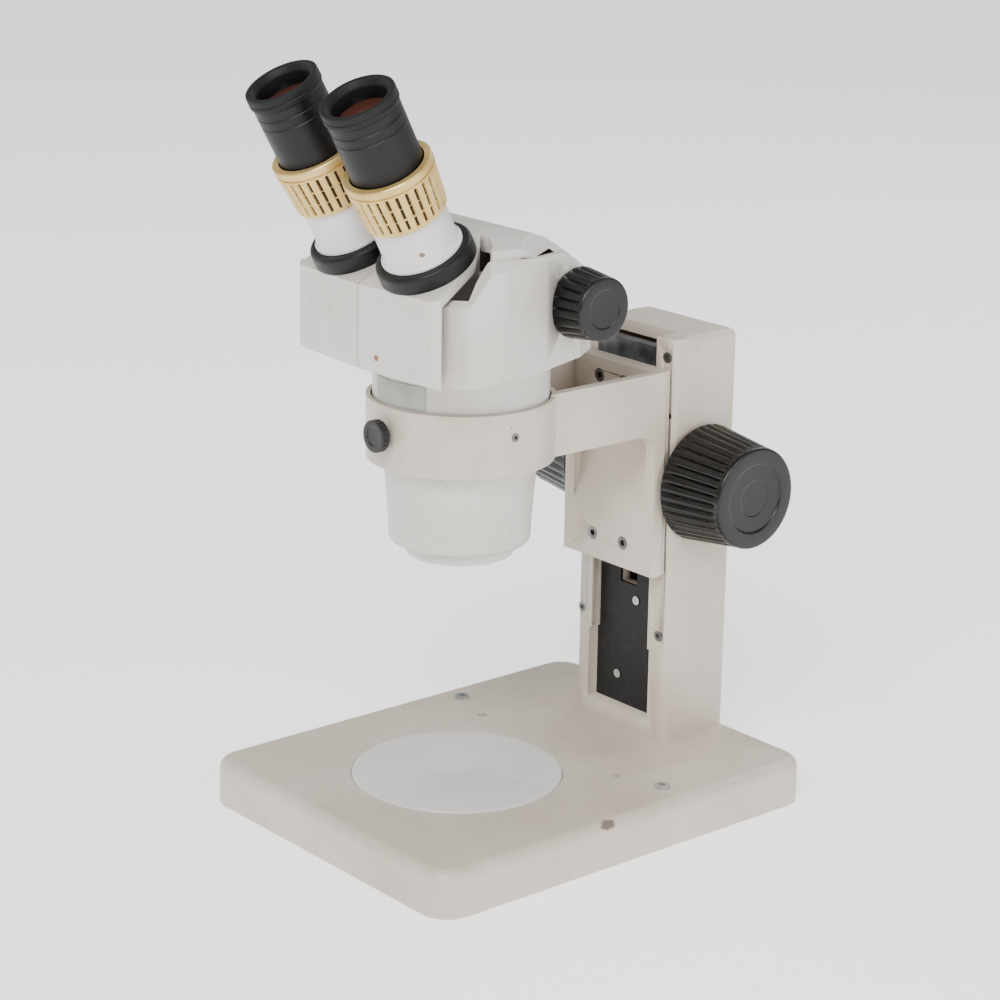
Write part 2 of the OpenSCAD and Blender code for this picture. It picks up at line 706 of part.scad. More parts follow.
module pinion_shaft() color(bright_steel) translate([0, pinion_y, pinion_z]) sideways(1) {
  cylinder(d = focus_shaft_d, h = 2 * (focus_knob_x + focus_knob_l - 6), center = true);
  translate([0, 0, -rack_w / 2]) gear(pinion_teeth, rack_w, 90 + 180 / pinion_teeth);
}

module focus_knob(side) color(black_plastic) translate([0, pinion_y, pinion_z]) sideways(side)
  translate([0, 0, focus_knob_x]) difference() {
    grip_knob(focus_knob_d / 2, focus_knob_end_d / 2, focus_knob_l, 0.1, focus_knob_grooves, 0.7, 17);
    translate([0, 0, -cut]) cylinder(d = focus_shaft_d, h = focus_knob_l - 6 + cut);
  }

module focus_knob_left() focus_knob(-1);
module focus_knob_right() focus_knob(1);

// ---- Head, fixed parts ----

// The head's own frame: origin on the optical axis at the underside of the head body
module in_head() {
  translate([0, axis_y, head_z]) children();
}

// Plan outline of the head body, drawn in from its outer face by inset
function head_plan(inset) = both_sides([
  [13.2, inset + 0.7 - head_front], [head_x - inset, inset + 9.7 - head_front],
  [head_x - inset, -23], [head_x - 2.5 - inset, -9], [head_x - 6.7 - inset, 6],
  [head_x - 11.7 - inset, split_mid[0]],
  [head_x - 16.6 - inset, head_rear - 23.5], [head_x - 26.5 - inset, head_rear - 8.3 - inset],
  [head_x - 37.5, head_rear - 1 - inset], [12, head_rear - inset]]);

// Side outline of the head body, as depth and height: its top follows the prism housings, rises to its
// rim and then falls
function body_side(drop) = [
  [-head_front - 9, -cut], [-head_front - 9, slope_z(-head_front - 9 + tube_front) - ledge_drop - drop],
  [-40.4, slope_z(-40.4 + tube_front) - ledge_drop - drop], [-27, rim_top - drop],
  [split_mid[0], split_mid[1] - drop], [split_rear[0], split_rear[1] - drop],
  [head_rear + 5, split_rear[1] - drop], [head_rear + 5, -cut]];

// Side outline of the cover above that: depth and height, falling in rounded steps towards the back
function cover_side(drop) = concat(
  [for (p = [[-head_front, 7.6], [0, 7.2], [15, 4.5], [25, 0.8], [35, -6], [45, -15], [55, -21.5],
    [head_rear + 5, -31]]) [p[0], rim_top + p[1] - drop]],
  [[head_rear + 5, -cut], [-head_front, -cut]]);

module along_x(points, w) {
  rotate([90, 0, 90]) linear_extrude(w, center = true) polygon(points);
}

module head_body_solid(inset, drop) {
  intersection() {
    linear_extrude(head_tall) polygon(head_plan(inset));
    along_x(body_side(drop), 2 * head_w);
    rotate([90, 0, 0]) linear_extrude(4 * head_w, center = true)
      polygon(both_sides([[head_x, -cut], [head_x, rim_top - 4], [cover_x + 0.5, rim_top],
        [cover_x + 0.5, head_tall]]));
  }
}

// The gap in the ledge around the housings, wide enough for them to swing
function ledge_opening() = both_sides([
  [open_x, -head_w], [open_x, -48], [head_x - head_wall, -46], [head_x - head_wall, -41],
  [head_x - 4.8, -38], [head_x - 6.3, -34.5], [cover_x + 1, -30], [cover_x + 0.9, -26.5],
  [cover_x - 0.5, -25], [cover_x - 0.5, ledge_back + cut]]);

module at_head_screws() {
  for (side = [-1, 1]) {
    translate([side * 36.5, 40.2, 6]) rotate([0, 0, side * 56]) rotate([0, side * 90, 0]) children();
    translate([side * 15, head_rear, 20]) rotate([-90, 0, 0]) children();
  }
}

module head_body() color(head_grey) in_head() difference() {
  union() {
    difference() {
      head_body_solid(0, 0);
      translate([0, 0, head_floor_t]) linear_extrude(head_tall) polygon(head_plan(head_wall));
      block([-open_x, -head_front - cut, 2 * head_floor_t], [open_x, -head_front + 20, head_tall]);
    }
    intersection() {
      head_body_solid(0, 0);
      difference() {
        along_x(body_side(0), 2 * head_w);
        along_x(body_side(ledge_t), 3 * head_w);
        linear_extrude(head_tall) polygon(ledge_opening());
        block([-head_w, ledge_back, -cut], [head_w, head_w, head_tall]);
      }
    }
    for (side = [-1, 1]) translate([0, zoom_shaft_back, zoom_shaft_up]) sideways(side)
      translate([0, 0, zoom_boss_x]) cylinder(r = 8.5, h = 7);
    for (side = [-1, 1]) translate([side * 15, head_rear - 3 - head_wall, 14]) cylinder(r = 3, h = 10);
  }
  for (side = [-1, 1]) {
    translate([side * channel_x, 0, -cut]) cylinder(d = hub_d + 2 * run, h = head_floor_t + 2 * cut);
    translate([0, zoom_shaft_back, zoom_shaft_up]) sideways(side) {
      translate([0, 0, zoom_boss_x - 20]) cylinder(r = zoom_bushing_r, h = head_x);
      translate([0, 0, zoom_knob_x - gap]) cylinder(r = zoom_knob_d / 2 + gap, h = head_x);
    }
    translate([0, side * rod_offset, -cut]) cylinder(d = rod_d, h = 2 + cut);
  }
  at_head_screws() screw_space(2, 1, 1.2, 5);
}

module head_cover() color(head_grey) in_head() difference() {
  cover_form(cover_front(), 0);
  cover_form([[0, head_cover_t - 17.3], [41, head_cover_t - 10.8],
    [cover_x - head_cover_t, head_cover_t - 10.8]], head_cover_t);
  along_x(concat([[-head_w, rim_top]], [for (i = [3:6]) body_side(0)[i]],
    [[head_rear + 9, -9], [-head_w, -9]]), 3 * head_w);
  block([1.3 - cover_x, -head_w, 0], [cover_x - 1.3, -17.5, horn_foot]);
}

// The front edge of the cover's plan leaves room for the housings to swing; a horn reaches forward
// over the outer corner of each
function cover_front() = [[0, -17.3], [33.2, -12], [cover_x - 3.3, -21.4], [cover_x - 1.5, horn_front],
  [cover_x, horn_front]];

// The crowned form of the cover behind a front edge, or its hollow with a wall of inset
module cover_form(front, inset) {
  intersection() {
    linear_extrude(head_tall) polygon(both_sides(concat(front, cover_back(inset))));
    along_x(cover_side(inset), 2 * head_w);
    rotate([90 - crown_fall, 0, 0]) linear_extrude(4 * head_w, center = true) polygon(cover_cross(inset));
    cover_shoulder(1, inset);
    cover_shoulder(-1, inset);
  }
}

// Plan outline of the cover's sides and back
function cover_back(inset) = [
  [cover_x - inset, 6], [cover_x - 4.2 - inset, split_mid[0]], [cover_x - 9.1 - inset, head_rear - 23.5],
  [cover_x - 19 - inset, head_rear - 8.8 - inset], [cover_x - 30, head_rear - 1.5 - inset],
  [12, head_rear - 0.5 - inset]];

// Cross outline of the cover, as width and height: a shallow crown
function cover_cross(drop) = both_sides([
  [0, rim_top + 8 - drop], [15, rim_top + 7 - drop], [30, rim_top + 5.8 - drop], [42, rim_top + 4.5 - drop],
  [cover_x - drop, rim_top + 2.9 - drop], [cover_x - drop, -cut]]);

// Everything under the slanting shoulder at one back corner of the cover
module cover_shoulder(side, drop) {
  top = head_tall - 1.35 * drop;
  start = cover_x - 30.2;
  rotate([0, 0, -side * 53]) along_x([[-2 * head_w, -cut], [-2 * head_w, top], [start, top],
    [head_w, top - 0.9 * (head_w - start)], [head_w, -cut]], 4 * head_w);
}

module head_screws() color(dull_steel) in_head() at_head_screws() screw(2, 1, 1.2, 5);

module head_collar() color(head_grey) translate([0, axis_y, collar_foot_z])
  tube(collar_d / 2, housing_d / 2 + 0.7, head_z - collar_foot_z);

module lower_housing() color(head_grey) translate([0, axis_y, 0]) difference() {
  foot_r = housing_low_d / 2;
  rotate_extrude() polygon(concat(
    [[spigot_r, housing_foot_z], [foot_r - housing_edge_r, housing_foot_z]],
    arc(foot_r - housing_edge_r, housing_foot_z + housing_edge_r, housing_edge_r, -80, 0, 6),
    [[housing_d / 2, ring_foot_z], [housing_d / 2, head_z - 6], [housing_d / 2 + 0.7, head_z - 6],
     [housing_d / 2 + 0.7, head_z], [housing_bore_r, head_z], [housing_bore_r, seat_z + 2],
     [objective_d / 2, seat_z + 2], [objective_d / 2, seat_z], [spigot_r, seat_z]]));
  for (side = [-1, 1]) translate([0, side * rod_offset, seat_z - 2]) cylinder(d = rod_d, h = 5);
}

module nose_ring() color(tube_white) translate([0, axis_y, housing_foot_z - 0.2 - nose_h]) {
  tube(nose_d / 2, objective_d / 2, nose_h);
  tube(spigot_r, objective_d / 2, nose_h + 0.2 + 4.3);
}

// A lens with one domed face
module lens(r, t, dome) {
  curve_r = (r * r + dome * dome) / (2 * dome);
  edge_angle = asin((curve_r - dome) / curve_r);
  rotate_extrude() polygon(concat([[0, 0], [r, 0]], arc(0, t - curve_r, curve_r, edge_angle, 90, 6)));
}

module objective_lens() color(glass) translate([0, axis_y, seat_z - lens_t]) lens(spigot_r, lens_t, 1.5);

module label_plate() color("#a9b8a4") translate([0, axis_y, ring_top_z + 1]) rotate([0, 0, -106])
  rotate_extrude(angle = 44) translate([collar_d / 2, 0]) square([0.6, 11]);

module zoom_bushings() color(bronze) in_head() for (side = [-1, 1])
  translate([0, zoom_shaft_back, zoom_shaft_up]) sideways(side) translate([0, 0, zoom_bushing_x])
    tube(zoom_bushing_r, zoom_shaft_d / 2 + run, 8);

module zoom_guide_rods() color(bright_steel) for (side = [-1, 1])
  translate([0, axis_y + side * rod_offset, seat_z]) cylinder(d = rod_d, h = head_z + 2 - seat_z);

// ---- Zoom shaft and lens carriers ----

module zoom_shaft() color(bright_steel) in_head() translate([0, zoom_shaft_back, zoom_shaft_up]) sideways(1)
  cylinder(d = zoom_shaft_d, h = 2 * (zoom_knob_x + zoom_knob_l - 5), center = true);

module zoom_knob(side) color(black_plastic) in_head()
  translate([0, zoom_shaft_back, zoom_shaft_up]) sideways(side)
  translate([0, 0, zoom_knob_x]) difference() {
    grip_knob(zoom_knob_d / 2, zoom_knob_end_d / 2, zoom_knob_l, 0.1, zoom_knob_grooves, 1, 9);
    translate([0, 0, -cut]) cylinder(d = zoom_shaft_d, h = zoom_knob_l - 5 + cut);
  }

module zoom_knob_left() zoom_knob(-1);
module zoom_knob_right() zoom_knob(1);

module zoom_carrier(drop) color(dull_steel) in_head() translate([0, 0, -drop - carrier_t / 2]) difference() {
  cylinder(r = carrier_r, h = carrier_t);
  for (side = [-1, 1]) {
    translate([side * channel_x, 0, -cut]) cylinder(d = zoom_lens_d, h = carrier_t + 2 * cut);
    translate([0, side * rod_offset, -cut]) cylinder(r = rod_d / 2 + run, h = carrier_t + 2 * cut);
  }
}

module zoom_lenses(drop) color(glass) in_head() for (side = [-1, 1])
  translate([side * channel_x, 0, -drop - carrier_t / 2 + 0.5]) lens(zoom_lens_d / 2, carrier_t - 1, 0.8);

module zoom_carrier_upper() zoom_carrier(upper_carrier_drop);
module zoom_lenses_upper() zoom_lenses(upper_carrier_drop);
module zoom_carrier_lower() zoom_carrier(lower_carrier_drop);
module zoom_lenses_lower() zoom_lenses(lower_carrier_drop);

// ---- Swinging prism housings ----

// The left one is the right one's mirror image
module on_side(side) {
  mirror([(1 - side) / 2, 0, 0]) children();
}

// Under the tube: origin below the tube's middle, -y square to the housing's front
module in_half() {
  translate([tube_x, -tube_front, 0]) rotate([0, 0, tube_splay]) children();
}

module half_outline(points) {
  linear_extrude(90) polygon(points);
}

module prism_housing(side) color(head_grey) in_head() on_side(side) difference() {
  union() {
    intersection() {
      in_half() intersection() {
        union() {
          half_front_slab();
          half_lid();
          half_box();
        }
        under_slope(0);
      }
      block([half_gap / 2, -head_w, -20], [head_w, head_w, 90]);
    }
    block([half_gap / 2 + 0.5, half_rear - tube_front - 6, arm_z],
          [channel_x + hub_d / 2 + 1, 0, arm_z + arm_t]);
    translate([channel_x, 0, arm_z]) cylinder(d = hub_d + 3.6, h = arm_t);
    translate([channel_x, 0, gap]) cylinder(d = hub_d, h = arm_z);
  }
  translate([channel_x, 0, 0]) cylinder(r = hub_d / 2 - 2.5, h = arm_z + arm_t + cut);
  in_half() translate([0, 0, tube_up]) rotate([tube_tilt, 0, 0])
    translate([0, 0, -half_top_t - 3]) cylinder(d = tube_d, h = 20);
}

// Everything down to arm height below the sloping top, or a depth under it
module under_slope(depth) {
  along_x([[-half_front - cut, -20], [-half_front - cut, slope_z(-half_front - cut) - depth],
    [half_rear + cut, slope_z(half_rear + cut) - depth], [half_rear + cut, -20]], 120);
}

module half_front_slab() {
  inner_y = half_front_t - half_front;
  intersection() {
    half_outline([[half_inner_x - 3, -half_front], [half_outer_x, -half_front],
      [half_outer_x + 2.8, half_front_t * 0.6 - half_front], [half_outer_x + 2.8, inner_y],
      [half_inner_x - 3, inner_y]]);
    along_x([[-half_front, 4.5], [inner_y, -2], [inner_y, head_w], [-half_front, head_w]], 120);
  }
}

module half_lid() {
  difference() {
    half_outline([[half_inner_x - 3, 1 - half_front], [half_outer_x + 1.5, 1 - half_front],
      [half_outer_x - 1.6, 8], [half_outer_x - 13.4, half_rear], [half_inner_x - 6, half_rear]]);
    under_slope(half_top_t);
  }
}

module half_box() {
  intersection() {
    difference() {
      half_outline([[half_inner_x - 6, 1 - half_front], [box_outer_x, 1 - half_front],
        [box_outer_x, half_rear - 2.5], [half_inner_x - 6, half_rear - 2.5]]);
      translate([0, 0, arm_z + arm_t]) half_outline([[half_inner_x + 5, half_front_t - half_front],
        [box_outer_x - 2.5, half_front_t - half_front], [box_outer_x - 2.5, half_rear - 5],
        [half_inner_x + 3, half_rear - 5]]);
      block([-20, half_rear - 6, arm_z + arm_t], [box_outer_x - 2.5, half_rear, arm_z + arm_t + 19]);
      block([-head_w, -head_w, -20 - cut], [head_w, head_w, arm_z]);
    }
    under_slope(half_top_t / 2);
  }
}

module prisms(side) color(glass) in_head() on_side(side) {
  translate([channel_x, 0, arm_z + arm_t]) along_x([[-9, 0], [9, 0], [-9, 18]], 18);
  in_half() translate([-1.5, 0, arm_z + arm_t]) along_x([[-9, 0], [9, 0], [9, 20], [-9, 14]], 18);
}

module swing_gear(side) color(bronze) in_head() on_side(side)
translate([channel_x, 0, gear_z]) difference() {
  gear(swing_teeth, gear_t, side > 0 ? 180 : 180 + 180 / swing_teeth);
  translate([0, 0, -cut]) cylinder(d = hub_d, h = gear_t + 2 * cut);
}

module prism_housing_left() prism_housing(-1);
module prism_housing_right() prism_housing(1);
module prisms_left() prisms(-1);
module prisms_right() prisms(1);
module swing_gear_left() swing_gear(-1);
module swing_gear_right() swing_gear(1);

// ---- Eyepiece tubes ----

// Along a tube: origin on the housing's sloping face, z up the tube
module on_tube(side) {
  in_head() on_side(side) in_half() translate([0, 0, tube_up]) rotate([tube_tilt, 0, 0]) children();
}

module tube_collar(side) color(black_plastic) on_tube(side) rotate_extrude()
  polygon(concat([[tube_d / 2, 0], [tube_collar_d / 2, 0], [tube_collar_d / 2, tube_collar_h - 3]],
                 arc(tube_collar_d / 2 - 3, tube_collar_h - 3, 3, 15, 90, 5),
                 [[tube_d / 2, tube_collar_h]]));

module eyepiece_tube(side) color(tube_white) on_tube(side) rotate_extrude()
  polygon([[tube_bore_r, -half_top_t * 0.8], [tube_d / 2, -half_top_t * 0.8], [tube_d / 2, tube_collar_h],
           [tube_d / 2 + 1.6, tube_collar_h], [tube_d / 2 + 1.6, tube_collar_h + 1.4],
           [tube_d / 2 + 1, tube_collar_h + 2], [tube_d / 2, tube_collar_h + 2], [tube_d / 2, tube_top],
           [tube_bore_r, tube_top]]);

module diopter_ring(side) color(gold) on_tube(side) translate([0, 0, ring_start]) difference() {
  low_r = diopter_low_d / 2;
  high_r = diopter_d / 2;
  rotate_extrude() polygon([[tube_d / 2 + run, 0], [low_r - 0.5, 0], [low_r, 0.5],
    [high_r - 0.1, diopter_l - 4.4], [high_r - 0.8, diopter_l - 4.1], [high_r - 0.8, diopter_l - 3.6],
    [high_r, diopter_l - 3.2], [high_r, diopter_l - 0.5], [high_r - 0.5, diopter_l],
    [tube_d / 2 + run, diopter_l]]);
  for (i = [0:diopter_slots - 1]) rotate(i * 360 / diopter_slots)
    translate([low_r - 0.7, -0.5, 1.5]) rotate([0, atan2(high_r - low_r, diopter_l), 0])
      cube([4, 1, diopter_l - 7]);
}

module draw_sleeve(side) color(bright_steel) on_tube(side) translate([0, 0, sleeve_foot])
  tube(sleeve_r, insertion_d / 2 + run, sleeve_top - sleeve_foot);

module eyepiece(side) color(black_plastic) on_tube(side) rotate_extrude()
  polygon([[insertion_d / 2 - 1.5, insertion_foot], [insertion_d / 2, insertion_foot],
           [insertion_d / 2, barrel_foot], [barrel_d / 2, barrel_foot], [barrel_d / 2, barrel_top],
           [eye_lens_d / 2, barrel_top], [eye_lens_d / 2, barrel_top - 5],
           [eye_lens_d / 2 - 1, barrel_top - 5],
           [eye_lens_d / 2 - 1, barrel_foot + 4], [insertion_d / 2 - 1.5, barrel_foot]]);

module eyecup(side) color(rubber) on_tube(side) translate([0, 0, barrel_top]) rotate_extrude()
  polygon([[eye_lens_d / 2, 0], [barrel_d / 2, 0], [eyecup_d / 2, 0.8], [eyecup_d / 2, 2.6],
           [eyecup_d / 2 - 0.4, 3], [eyecup_d / 2, 3.4], [eyecup_d / 2, eyecup_h - 1],
           [eyecup_d / 2 - 1, eyecup_h], [eye_lens_d / 2 + 2, eyecup_h], [eye_lens_d / 2, eyecup_h - 3]]);

module eye_lens(side) color(glass) on_tube(side) translate([0, 0, barrel_top - 5])
  lens(eye_lens_d / 2, 3.6, 1.2);

module tube_collar_left() tube_collar(-1);
module tube_collar_right() tube_collar(1);
module eyepiece_tube_left() eyepiece_tube(-1);
module eyepiece_tube_right() eyepiece_tube(1);
module diopter_ring_left() diopter_ring(-1);
module diopter_ring_right() diopter_ring(1);
module draw_sleeve_left() draw_sleeve(-1);
module draw_sleeve_right() draw_sleeve(1);
module eyepiece_left() eyepiece(-1);
module eyepiece_right() eyepiece(1);
module eyecup_left() eyecup(-1);
module eyecup_right() eyecup(1);
module eye_lens_left() eye_lens(-1);
module eye_lens_right() eye_lens(1);

base_casting();
base_cover();
foot_pads();
base_screws();
stage_plate();
pillar_casting();
pillar_bolts();
guide_rail_left();
guide_rail_right();
rail_screws();
recess_cover();
recess_cover_screws();
shaft_bushings();
focus_slide();
focus_rack();
arm_bracket();
arm_screws();
ring_set_screw();
pinion_shaft();
focus_knob_left();
focus_knob_right();
ring_clamp_knob();
head_collar();
lower_housing();
nose_ring();
objective_lens();
head_body();
head_cover();
head_screws();
label_plate();
zoom_bushings();
zoom_guide_rods();
zoom_shaft();
zoom_knob_left();
zoom_knob_right();
zoom_carrier_upper();
zoom_lenses_upper();
zoom_carrier_lower();
zoom_lenses_lower();
prism_housing_left();
prism_housing_right();
prisms_left();
prisms_right();
swing_gear_left();
swing_gear_right();
tube_collar_left();
tube_collar_right();
eyepiece_tube_left();
eyepiece_tube_right();
diopter_ring_left();
diopter_ring_right();
draw_sleeve_left();
draw_sleeve_right();
eyepiece_left();
eyepiece_right();
eyecup_left();
eyecup_right();
eye_lens_left();
eye_lens_right();
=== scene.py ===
"""Looks of the stereo microscope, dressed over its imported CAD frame.

Lengths are in metres in the CAD's frame: +Z up, -Y to the user, +X to the user's right. Profiles are in mm.
Turned pieces are grids worked out with numpy. Castings are CAD shapes with their triangles merged, in a
finish of their own; their edges are as the CAD has them.
"""

import math

import bmesh
import bpy
import numpy as np
from mathutils import Matrix, Vector
from mathutils.bvhtree import BVHTree


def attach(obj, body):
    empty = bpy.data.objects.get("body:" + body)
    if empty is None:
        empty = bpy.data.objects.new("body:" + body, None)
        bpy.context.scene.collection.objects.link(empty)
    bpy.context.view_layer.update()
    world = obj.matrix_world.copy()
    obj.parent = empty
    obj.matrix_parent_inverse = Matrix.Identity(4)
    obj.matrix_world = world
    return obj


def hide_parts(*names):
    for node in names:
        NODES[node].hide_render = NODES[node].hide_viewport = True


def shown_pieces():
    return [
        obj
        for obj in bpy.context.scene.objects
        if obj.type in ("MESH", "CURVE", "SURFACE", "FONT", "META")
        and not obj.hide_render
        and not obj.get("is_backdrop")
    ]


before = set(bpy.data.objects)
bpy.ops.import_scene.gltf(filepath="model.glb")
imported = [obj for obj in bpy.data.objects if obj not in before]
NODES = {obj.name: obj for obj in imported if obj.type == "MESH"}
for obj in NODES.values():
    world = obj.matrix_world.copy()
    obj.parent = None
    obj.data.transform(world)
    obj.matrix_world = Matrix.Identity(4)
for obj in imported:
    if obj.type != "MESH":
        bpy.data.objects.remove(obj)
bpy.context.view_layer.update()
MM = 0.001
SIDES = {"left": -1, "right": 1}

# ---------------------------------------------------------------- camera

PHOTO_SIZE = 1000
SENSOR_WIDTH = 36.0
LENS = 100.286
CAMERA_PLACE = Vector((0.949576, -0.812650, 0.531620))
CAMERA_AZIMUTH = math.radians(49.7495)
CAMERA_PITCH = math.radians(16.9368)
CAMERA_ROLL = math.radians(0.9020)

# Points of the photograph, in its own 1000 by 1000 frame
IMAGE_POINTS = {
    "object_left": (219.5, None),
    "object_right": (796.5, None),
    "object_top": (None, 57.5),
    "object_bottom": (None, 919.0),
    "stage_plate": (457.5, 772.5),
    "clip_hole_right": (617.0, 776.0),
    "clip_hole_left": (481.5, 716.5),
    "base_screw_right": (664.5, 788.5),
    "base_screw_left": (463.5, 697.0),
    "edge_wear": (608.0, 825.0),
    "label_plate": (401.0, 398.0),
    "focus_knob_right": (728.0, 488.0),
    "zoom_knob_right": (590.0, 304.0),
    "clamp_knob": (378.0, 434.0),
    "tube_chip": (422.0, 255.0),
    "housing_rust": (376.0, 358.0),
    "rail_notch": (669.0, 416.5),
}


def camera_axes():
    """Right, up and back directions of the camera, from its azimuth, pitch and roll."""
    ahead = Vector((-math.sin(CAMERA_AZIMUTH) * math.cos(CAMERA_PITCH),
                    math.cos(CAMERA_AZIMUTH) * math.cos(CAMERA_PITCH),
                    -math.sin(CAMERA_PITCH)))
    level = Vector((math.cos(CAMERA_AZIMUTH), math.sin(CAMERA_AZIMUTH), 0.0))
    upright = level.cross(ahead)
    right = level * math.cos(CAMERA_ROLL) + upright * math.sin(CAMERA_ROLL)
    up = upright * math.cos(CAMERA_ROLL) - level * math.sin(CAMERA_ROLL)
    return right, up, -ahead


RIGHT, UP, BACK = camera_axes()
FOCAL = PHOTO_SIZE * LENS / SENSOR_WIDTH


def make_camera():
    lens_data = bpy.data.cameras.new("photo_camera")
    lens_data.lens = LENS
    lens_data.sensor_width = SENSOR_WIDTH
    lens_data.sensor_fit = "AUTO"
    camera = bpy.data.objects.new("photo_camera", lens_data)
    bpy.context.scene.collection.objects.link(camera)
    turn = Matrix((RIGHT, UP, BACK)).transposed().to_4x4()
    camera.matrix_world = Matrix.Translation(CAMERA_PLACE) @ turn
    bpy.context.scene.camera = camera


def project(points):
    """Where points fall in the photograph's frame, one row (x, y) for each."""
    seen = (np.atleast_2d(np.asarray(points, float)) - np.array(CAMERA_PLACE)) @ np.array([RIGHT, UP, BACK]).T
    scale = FOCAL / -seen[:, 2]
    return np.column_stack([PHOTO_SIZE / 2 + seen[:, 0] * scale, PHOTO_SIZE / 2 - seen[:, 1] * scale])


def place(point, carriers):
    """The place and outward normal where the ray through an image point meets the carriers."""
    x, y = point
    ray = (RIGHT * (x - PHOTO_SIZE / 2) + UP * (PHOTO_SIZE / 2 - y) - BACK * FOCAL).normalized()
    depsgraph = bpy.context.evaluated_depsgraph_get()
    best = None
    for carrier in carriers:
        tree = BVHTree.FromObject(carrier, depsgraph)
        spot, normal, _, reach = tree.ray_cast(CAMERA_PLACE, ray)
        if spot is None:
            low, high = Vector(carrier.bound_box[0]), Vector(carrier.bound_box[6])
            aim = CAMERA_PLACE + ray * ((low + high) / 2 - CAMERA_PLACE).dot(ray)
            spot, normal, _, miss = tree.find_nearest(aim)
            reach = 100.0 + miss
        if best is None or reach < best[2]:
            best = (spot, normal, reach)
    return best[0], best[1]


# ---------------------------------------------------------------- materials


def srgb(code):
    """An sRGB hex colour as linear red, green, blue and alpha."""
    parts = [int(code[i:i + 2], 16) / 255 for i in (1, 3, 5)]
    return (*(p / 12.92 if p <= 0.04045 else ((p + 0.055) / 1.055) ** 2.4 for p in parts), 1.0)


def per_metre(size_mm):
    """The scale of a texture whose features are about size_mm across, on Object coordinates in metres."""
    return 1.0 / (size_mm * MM)


def add(tree, kind, inputs=None, out=None, **settings):
    """Adds a shader node with its settings, fills or links its inputs, and gives the node or one output."""
    made = tree.nodes.new("ShaderNode" + kind)
    for key, value in settings.items():
        setattr(made, key, value)
    for key, value in (inputs or {}).items():
        if isinstance(value, bpy.types.NodeSocket):
            tree.links.new(value, made.inputs[key])
        else:
            made.inputs[key].default_value = value
    return made if out is None else made.outputs[out]


def start_material(name):
    """A new material's tree and its Object coordinates."""
    made = bpy.data.materials.new(name)
    made.use_nodes = True
    made.node_tree.nodes.clear()
    return made, made.node_tree, add(made.node_tree, "TexCoord", out="Object")


def finish_material(made, **sockets):
    """Ends a material in one Principled shader whose sockets are given by name, with _ for a space."""
    inputs = {key.replace("_", " "): value for key, value in sockets.items()}
    shader = add(made.node_tree, "BsdfPrincipled", inputs, out=0)
    add(made.node_tree, "OutputMaterial", {"Surface": shader})
    return made


def stoved_enamel(name, paint, shade, rough, dots_mm=9.0, wear=()):
    """Sprayed and stoved enamel on a casting: a faint orange peel, cloudy yellowing, grime and small specks.
    wear lists (centre, radii, colour, torn) patches, where the paint is scraped or stained."""
    made, tree, place_on = start_material(name)
    cloud = add(tree, "TexNoise", {"Vector": place_on, "Scale": per_metre(45), "Detail": 4.0}, "Fac")
    grime = add(tree, "TexNoise", {"Vector": place_on, "Scale": per_metre(8), "Detail": 6.0,
                                   "Roughness": 0.7}, "Fac")
    yellowed = add(tree, "MapRange", {"Value": cloud, "From Min": 0.36, "From Max": 0.7}, "Result")
    colour = add(tree, "Mix", {0: yellowed, 6: srgb(paint), 7: srgb(shade)}, 2, data_type="RGBA")
    dirty = add(tree, "MapRange", {"Value": grime, "From Min": 0.58, "From Max": 0.95, "To Max": 0.5},
                "Result")
    colour = add(tree, "Mix", {0: dirty, 6: colour, 7: srgb("#7d7060")}, 2, data_type="RGBA")
    cells = add(tree, "TexVoronoi", {"Vector": place_on, "Scale": per_metre(dots_mm)}, "Distance")
    some = add(tree, "TexNoise", {"Vector": place_on, "Scale": per_metre(17)}, "Fac")
    dot = add(tree, "MapRange", {"Value": cells, "From Min": 0.05, "From Max": 0.03}, "Result")
    sparse = add(tree, "MapRange", {"Value": some, "From Min": 0.55, "From Max": 0.6}, "Result")
    dot = add(tree, "Math", {0: dot, 1: sparse}, 0, operation="MULTIPLY")
    colour = add(tree, "Mix", {0: dot, 6: colour, 7: srgb("#54473a")}, 2, data_type="RGBA")
    for centre, radii, worn, torn_mm in wear:
        torn = add(tree, "TexNoise", {"Vector": place_on, "Scale": per_metre(torn_mm), "Detail": 8.0,
                                      "Roughness": 0.8}, "Fac")
        moved = add(tree, "VectorMath", {0: place_on, 1: tuple(centre)}, 0, operation="SUBTRACT")
        moved = add(tree, "VectorMath", {0: moved, 1: tuple(radii)}, 0, operation="DIVIDE")
        away = add(tree, "VectorMath", {0: moved}, "Value", operation="LENGTH")
        inside = add(tree, "MapRange", {"Value": away, "From Min": 1.0, "From Max": 0.3}, "Result")
        worn_off = add(tree, "Math", {0: inside, 1: torn}, 0, operation="MULTIPLY")
        edge = add(tree, "MapRange", {"Value": worn_off, "From Min": 0.33, "From Max": 0.42}, "Result")
        colour = add(tree, "Mix", {0: edge, 6: colour, 7: srgb(worn)}, 2, data_type="RGBA")
    peel = add(tree, "TexNoise", {"Vector": place_on, "Scale": per_metre(1.3), "Detail": 2.0}, "Fac")
    bump = add(tree, "Bump", {"Strength": 0.06, "Distance": 0.0002, "Height": peel}, 0)
    gloss = add(tree, "MapRange", {"Value": grime, "To Min": rough - 0.06, "To Max": rough + 0.14}, "Result")
    return finish_material(made, Base_Color=colour, Roughness=gloss, Normal=bump, Coat_Weight=0.2,
                           Coat_Roughness=0.25)


